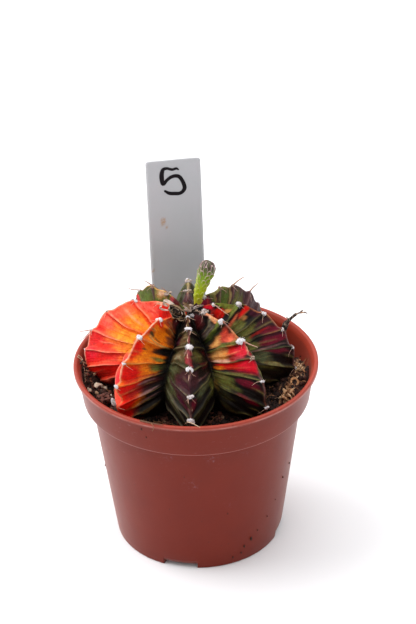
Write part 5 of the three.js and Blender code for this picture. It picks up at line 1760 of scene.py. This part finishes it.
# Fibres that lie about: path from the pot's axis and the rim, radius, shade
CHOSEN_FIBRES = [
    ([(-31.3, 3.4, 0.12), (-30.4, 3.2, -0.8), (-29.8, 1.0, -2.1), (-29.6, -0.4, -2.5),
      (-29.4, -2.9, -4.4)], 0.15, 0.85),
    ([(-31.5, 2.6, 0.12), (-30.5, 2.0, -0.5), (-29.7, 1.1, -1.8)], 0.12, 0.85),
    ([(28.3, 3.4, -4.6), (29.2, 4.5, -4.2), (29.7, 5.4, -3.9)], 0.2, 0.4),
    ([(28.5, -2.9, -5.2), (28.8, -2.4, -4.4), (28.6, -2.0, -3.9)], 0.2, 0.55),
    ([(27.9, -3.6, -5.4), (28.7, -3.9, -5.2), (29.1, -4.4, -5.2)], 0.22, 0.6),
    ([(-14.4, -28.7, 0.15), (-12.4, -29.9, 0.35), (-10.3, -30.6, 0.3), (-8.6, -31.3, 0.3)], 0.2, 0.2),
    ([(-12.8, -28.6, -0.4), (-11.6, -30.3, 0.3), (-11.0, -31.9, 0.2), (-11.3, -32.1, -0.9)], 0.14, 0.3),
    ([(-2.6, -29.2, -0.3), (-1.4, -30.7, 0.3), (-0.2, -31.8, 0.3), (0.9, -32.3, -0.2)], 0.15, 0.85),
    ([(28.6, 0.4, -5.2), (29.4, 0.8, -3.2), (30.1, 1.6, -1.6)], 0.13, 0.5),
    ([(-19.6, -20.8, -7.4), (-17.0, -22.6, -6.2), (-14.6, -24.9, -6.6),
      (-12.2, -26.0, -7.2)], 0.24, 0.16),
    ([(-17.4, -20.4, -6.6), (-15.0, -23.6, -6.4), (-13.4, -26.4, -5.2),
      (-11.0, -27.6, -4.6)], 0.2, 0.22),
    ([(-12.6, -22.0, -6.4), (-10.4, -24.4, -5.4), (-7.6, -25.6, -6.2),
      (-5.8, -27.4, -5.6)], 0.22, 0.14),
    ([(-15.8, -24.6, -6.8), (-12.4, -25.2, -5.4), (-9.0, -27.2, -5.8)], 0.18, 0.26),
    ([(-20.4, -19.4, -6.2), (-18.8, -22.4, -5.2), (-17.4, -24.2, -3.8),
      (-15.6, -25.4, -3.2)], 0.15, 0.3),
]


def shade_fibre(tree):
    shade = mask(tree, "shade")
    base = blend(tree, remap(tree, shade, 0.0, 0.5), srgb(52, 30, 22), srgb(150, 100, 62))
    base = overlaid(tree, base, (222, 198, 168), shade, 0.6, 1.0)
    base = overlaid(tree, base, (60, 36, 26), grain(tree, 0.5, 4), 0.4, 0.65, 0.0, 0.4)
    return {"Base Color": base, "Roughness": 0.75}


# Fibres strewn over the soil: how many, from and to which radius, over which arc
FIBRE_FIELDS = [(150, (10, 27.5), (0, 360)), (230, (19, 28.8), (222, 275)), (30, (20, 28), (330, 372))]


def make_fibres():
    random = np.random.default_rng(71)
    plant = plant_tree()
    heap = Heap()
    for count, (inner, outer), arc in FIBRE_FIELDS:
        for _ in range(count):
            x, y = soil_spot(random, inner, outer, arc)
            turn = random.uniform(0, 2 * math.pi)
            length = random.uniform(1.0, 4.5)
            path = []
            for step in np.linspace(-0.5, 0.5, 5):
                bend = 0.25 * length * (step * step - 0.1)
                px = x + length * step * math.cos(turn) - bend * math.sin(turn) + random.normal(0, 0.08)
                py = y + length * step * math.sin(turn) + bend * math.cos(turn) + random.normal(0, 0.08)
                over = max(0, math.hypot(px, py) - (pot_inner_radius(POT_HEIGHT - SOIL_DEPTH) - 0.5))
                px, py = px * (1 - over / 28), py * (1 - over / 28)
                pz = float(rough_soil_height(np.array(px), np.array(py))) + random.uniform(0.05, 0.7)
                path.append((px, py, pz))
            if all(outside_plant(plant, p, 0.1) for p in path):
                thick = random.uniform(0.06, 0.15)
                heap.add(*rod(smooth_path(path, 3), thick, 4), random.uniform(0.2, 0.8))
    for path, radius, shade in CHOSEN_FIBRES:
        line = smooth_path(from_rim(path), 5)
        heap.add(*rod(line, np.linspace(radius, radius * 0.45, len(line)), 5), shade)
    fibres = heap.build("fibres")
    finish_piece(fibres, material("fibre", shade_fibre), "soil")


# Stones: place from the pot's axis and the rim, half sizes, turn, the node each stands for
STONES = [
    ((-26.2, -3, -5.6), (1.3, 1.0, 0.9), 20, "stone_1"),
    ((-25.1, -4.5, -6.7), (0.85, 0.7, 0.6), 70, "stone_2"),
    ((-28.5, -4.6, -5.8), (0.8, 0.7, 0.65), 140, "stone_3"),
    ((-22.7, -5.9, -7.2), (0.6, 0.5, 0.5), 35, "stone_4"),
    ((-24.4, -2.4, -6.8), (0.8, 0.6, 0.6), 10, "stone_5"),
]
# The brown stone stands for stone_6
BROWN_STONE = ((-24.2, -9.2, -5.7), (2.7, 2.3, 1.9), 55)


def stone_shape(at, half, turn, seed, pits):
    points, faces = ball(5)
    random = np.random.default_rng(seed)
    planes = random.normal(size=(9, 3))
    planes /= np.linalg.norm(planes, axis=1, keepdims=True)
    facing = np.maximum(points @ planes.T, 0.05)
    swell = np.minimum((random.uniform(0.62, 0.85, 9) / facing).min(axis=1), 1.08)
    swell = swell + 0.14 * (fractal(points, 0.5, 4, seed) - 0.5) * 2
    holes = smoothstep(fractal(points, 0.17, 2, seed + 40), 0.56, 0.7)
    swell = swell - pits * holes
    turned = spun(points * swell[:, None] * np.array(half), math.radians(turn))
    return turned + from_rim(at), faces, holes


def make_stones():
    """Pale stones, which keep the finish that comes with the solids, and the brown one."""
    pumice = bpy.data.materials["pumice"]
    for i, (at, half, turn, name) in enumerate(STONES):
        points, faces, _ = stone_shape(at, half, turn, 100 + i, 0.1)
        finish_piece(mesh_object("pumice_" + str(i + 1), points, faces), pumice, name)
    at, half, turn = BROWN_STONE
    points, faces, holes = stone_shape(at, half, turn, 140, 0.26)
    stone = mesh_object("brown_lump", points, faces, masks={"hole": holes})
    finish_piece(stone, material("brown_rock", shade_brown_rock), "stone_6")


def shade_brown_rock(tree):
    hole = mask(tree, "hole")
    mottled = remap(tree, grain(tree, 0.5, 5, 0.65), 0.38, 0.66)
    base = blend(tree, mottled, srgb(70, 36, 28), srgb(136, 84, 68))
    # Painted shade: the pits are painted near black, as the shade in them
    base = blend(tree, times(tree, hole, 0.85), base, srgb(34, 18, 14))
    normal = bump(tree, grain(tree, 0.2, 4, 0.7), 0.2)
    return {"Base Color": base, "Roughness": 0.9, "Normal": normal}


# Bark on the soil at the right: place from the pot's axis and the rim, half sizes, turn, node
BARK_CHIPS = [
    ((27.9, 1.9, -5), (0.7, 1.9, 0.5), 40, "bark_chip_1"),
    ((27.5, -1.9, -5.4), (1.2, 1.0, 0.7), 15, "bark_chip_2"),
    ((24.7, -6.5, -6.4), (1.8, 1.4, 1.1), 60, "bark_chip_3"),
    ((23.5, -9.4, -6.8), (1.4, 1.7, 1.0), 20, "bark_chip_4"),
]
BARK_STRIP = [(26.6, 4.6, -4.7), (27.4, 3.0, -4.3), (28.3, 1.0, -4.1), (28.9, -0.9, -4.2)]
# Ring of husk: centre from the pot's axis and the rim, radius, half thickness, tilt
HUSK_RING = ((26, -4, -5.6), 1.0, 0.34, 35)
HUSK_CLEARANCE = 1.5
SHARD_COUNT = 13
STRIP_FIBRES = 26
BARK_BITS = 110


def bark_shape(half, turn, seed):
    """Fibrous chip: a lump with grooves and splinters along its longer side."""
    points, faces = ball(4)
    half = np.array(half)
    along = int(half.argmax())
    others = [i for i in range(3) if i != along]
    spin = np.arctan2(points[:, others[1]], points[:, others[0]])
    grooves = 0.13 * np.sin(11 * spin + 2.5 * np.sin(2 * points[:, along] + seed))
    swell = 1 + grooves + 0.5 * (fractal(points, 0.8, 4, seed) - 0.5)
    ends = np.sign(points[:, along]) * smoothstep(np.abs(points[:, along]), 0.6, 1)
    swell = swell * (1 + 0.25 * ends * noise(points, 0.25, seed))
    shades = np.clip(0.5 + 3 * grooves + 0.6 * (fractal(points, 0.5, 3, seed + 3) - 0.5), 0, 1)
    return spun(points * swell[:, None] * half, math.radians(turn)), faces, shades


def shade_bark(tree):
    shade = mask(tree, "shade")
    base = blend(tree, remap(tree, shade, 0.1, 0.55), srgb(70, 38, 24), srgb(208, 150, 100))
    base = overlaid(tree, base, (244, 208, 166), shade, 0.6, 0.9)
    base = overlaid(tree, base, (92, 54, 34), grain(tree, 0.4, 5, 0.65), 0.4, 0.66, 0.0, 0.4)
    normal = bump(tree, grain(tree, 0.18, 4, 0.7), 0.15)
    return {"Base Color": base, "Roughness": 0.85, "Normal": normal}


def add_shards(heap, at, half, turn, random, darker):
    """Ragged shards that together fill a chip."""
    half = np.array(half)
    for i in range(SHARD_COUNT):
        long = random.uniform(0.55, 0.95) * min(half.max(), 1.3)
        size = long * np.array([1, random.uniform(0.22, 0.45), random.uniform(0.12, 0.3)])
        points, faces, shades = bark_shape(size, 0, 200 + i)
        spin = Quaternion(random.normal(size=4)).normalized().to_matrix()
        lying = Euler((random.normal(0, 0.5), random.normal(0, 0.5), random.uniform(0, 6.3))).to_matrix()
        points = points @ np.array(lying if i % 3 else spin)
        off = spun(random.uniform(-0.75, 0.75, 3) * half, math.radians(turn))
        tone = random.choice([0.5, 0.35, 0.2, 0.0, -0.35]) + darker
        heap.add(points + from_rim(at) + off, faces, np.clip(shades + tone, 0, 1))


def make_chips(random, bark):
    """Bark chips; the first one also has a fibrous strip along it."""
    for i, (at, half, turn, name) in enumerate(BARK_CHIPS):
        heap = Heap()
        add_shards(heap, at, half, turn, random, -0.3 if i == 0 else 0.0)
        if i == 0:
            add_petal(heap, BARK_STRIP, 0.45, 0.42, 60)
            line = smooth_path(from_rim(BARK_STRIP), 6)
            for f in random.uniform(0.05, 0.95, STRIP_FIBRES):
                middle = line[int(f * (len(line) - 1))] + [0, 0, 0.12] + random.normal(0, 0.08, 3)
                reach = random.uniform(0.3, 0.75) * np.array([0.75, 0.35, 0.5])
                reach = reach + random.normal(0, 0.12, 3)
                fibre = smooth_path(np.array([middle - reach, middle + [0, 0, 0.1], middle + reach]), 3)
                heap.add(*rod(fibre, random.uniform(0.05, 0.12), 4), random.choice([0.1, 0.3, 0.9]))
        finish_piece(heap.build("chip_" + str(i + 1)), bark, name)


def make_husk(bark):
    at, radius, thick, tilt = HUSK_RING
    rows, columns = 40, 18
    a, b = crossed(circle(rows), circle(columns))
    spot = np.stack([np.cos(a) * 2 + np.cos(b), np.sin(a) * 2 + np.sin(b), b * 0], -1)
    girth = thick * (1 + 0.5 * (fractal(spot, 0.7, 3, 5) - 0.5))
    reach = radius + girth * np.cos(b)
    ring = np.stack([reach * np.cos(a), reach * np.sin(a) * 1.1, 0.8 * girth * np.sin(b)], -1)
    c, s = math.cos(math.radians(tilt)), math.sin(math.radians(tilt))
    turned = ring @ np.array([[1, 0, 0], [0, c, s], [0, -s, c]])
    points = turned.reshape(-1, 3) + from_rim(at) + [0, 0, 0.3]
    faces = []
    for r in range(rows):
        for c in range(columns):
            e, d = (r + 1) % rows, (c + 1) % columns
            faces.append((r * columns + c, e * columns + c, e * columns + d, r * columns + d))
    shades = np.clip(0.45 - 0.25 * np.cos(b) + 0.6 * (fractal(spot, 0.4, 3, 8) - 0.5), 0, 1)
    husk = mesh_object("husk", points, faces, masks={"shade": shades.ravel()})
    finish_piece(husk, bark, "husk_ring")


def make_bark_bits(random, bark):
    """Splinters strewn along the wall at the right."""
    ring_x, ring_y, _ = HUSK_RING[0]
    heap = Heap()
    for _ in range(BARK_BITS):
        f = random.uniform(0, 1)
        x = 27.4 - 4.6 * f ** 1.4 + random.normal(0, 0.8)
        y = 6 - 17 * f + random.normal(0, 0.8)
        z = float(soil_height(np.array(x), np.array(y))) + random.uniform(0.2, 1.1)
        long = random.uniform(0.3, 0.9)
        half = long * np.array([1, random.uniform(0.15, 0.4), random.uniform(0.15, 0.35)])
        in_wall = math.hypot(x, y) + half[0] > pot_inner_radius(z) - 0.15
        if in_wall or math.hypot(x - ring_x, y - ring_y) < HUSK_CLEARANCE:
            continue
        points, faces, shades = bark_shape(half, random.uniform(0, 180), 300)
        points = points @ np.array(Euler(random.normal(0, 0.6, 3)).to_matrix())
        heap.add(points + [x, y, z], faces, np.clip(shades + random.uniform(-0.75, 0.1), 0, 1))
    finish_piece(heap.build("bark_bits"), bark, "husk_ring")


def make_bark():
    bark = material("bark", shade_bark)
    random = np.random.default_rng(90)
    make_chips(random, bark)
    make_husk(bark)
    make_bark_bits(random, bark)


# Twig
TWIG_LINE = [
    (22.2, 10.6, -12), (23.3, 10.3, -2), (24.3, 9.9, 4), (26.5, 9.8, 6.8), (27.9, 9.8, 7.7),
    (29.7, 9.7, 8),
]
TWIG_FORKS = [
    ((28.2, 9.8, 7.75), (29.1, 9.9, 8.5), 0.3), ((25.3, 9.85, 5.4), (24.5, 10.3, 6.3), 0.24),
    ((29.3, 9.7, 7.95), (30.2, 9.5, 7.5), 0.24),
]
TWIG_RADIUS = 0.62


def make_twig():
    line = smooth_path(from_rim(TWIG_LINE), 14)
    count = len(line)
    bumps = 1 + 0.5 * (fractal(line, 1.1, 3, 3) - 0.5) * 2
    heap = Heap()
    thicker = 1 + 0.45 * np.exp(-((line[:, 2] - POT_HEIGHT - 3.5) / 2.2) ** 2)
    points, faces = rod(line, TWIG_RADIUS * np.linspace(1.15, 0.34, count) * bumps * thicker, 14)
    points[:-2] += 0.35 * (fractal(points[:-2], 0.5, 3, 12) - 0.5)[:, None] * [1, 1, 0.5]
    paler = 0.7 * smoothstep(line[:, 0], 26.8, 29)
    shades = np.append(np.repeat(0.2 + paler + 0.5 * (fractal(line, 0.8, 3, 9) - 0.5), 14), [0.3, 0.9])
    heap.add(points, faces, np.clip(shades, 0, 1))
    for foot, tip, radius in TWIG_FORKS:
        middle = (np.array(foot) + tip) / 2 + [0, 0, 0.15]
        path = smooth_path(from_rim([foot, middle, tip]), 5)
        heap.add(*rod(path, np.linspace(radius, radius * 0.4, len(path)), 8), 0.45)
    twig = heap.build("twig_wood")
    finish_piece(twig, material("twig_bark", shade_twig), "twig")


def shade_twig(tree):
    shade = mask(tree, "shade")
    base = blend(tree, remap(tree, shade, 0.1, 0.6), srgb(34, 20, 18), srgb(96, 64, 52))
    base = overlaid(tree, base, (186, 144, 112), shade, 0.6, 0.95)
    specks = grain(tree, 0.45, 4, 0.6, (1, 1, 0.5))
    base = overlaid(tree, base, (180, 156, 134), specks, 0.51, 0.64, 0.0, 0.8)
    normal = bump(tree, grain(tree, 0.3, 4, 0.7, (1, 1, 0.4)), 0.2)
    return {"Base Color": base, "Roughness": 0.85, "Normal": normal}


if __name__ == "__main__":
    world_light()
    key_light()
    make_floor()
    make_camera()
    make_pot()
    make_plant()
    make_wool()
    make_spines()
    make_bud()
    make_spent_flower()
    make_label()
    make_number()
    make_soil()
    make_crumbs()
    make_wall_dirt()
    make_fibres()
    make_stones()
    make_bark()
    make_twig()
    scene = bpy.context.scene
    scene.view_settings.view_transform = "Standard"
    scene.view_settings.look = "None"
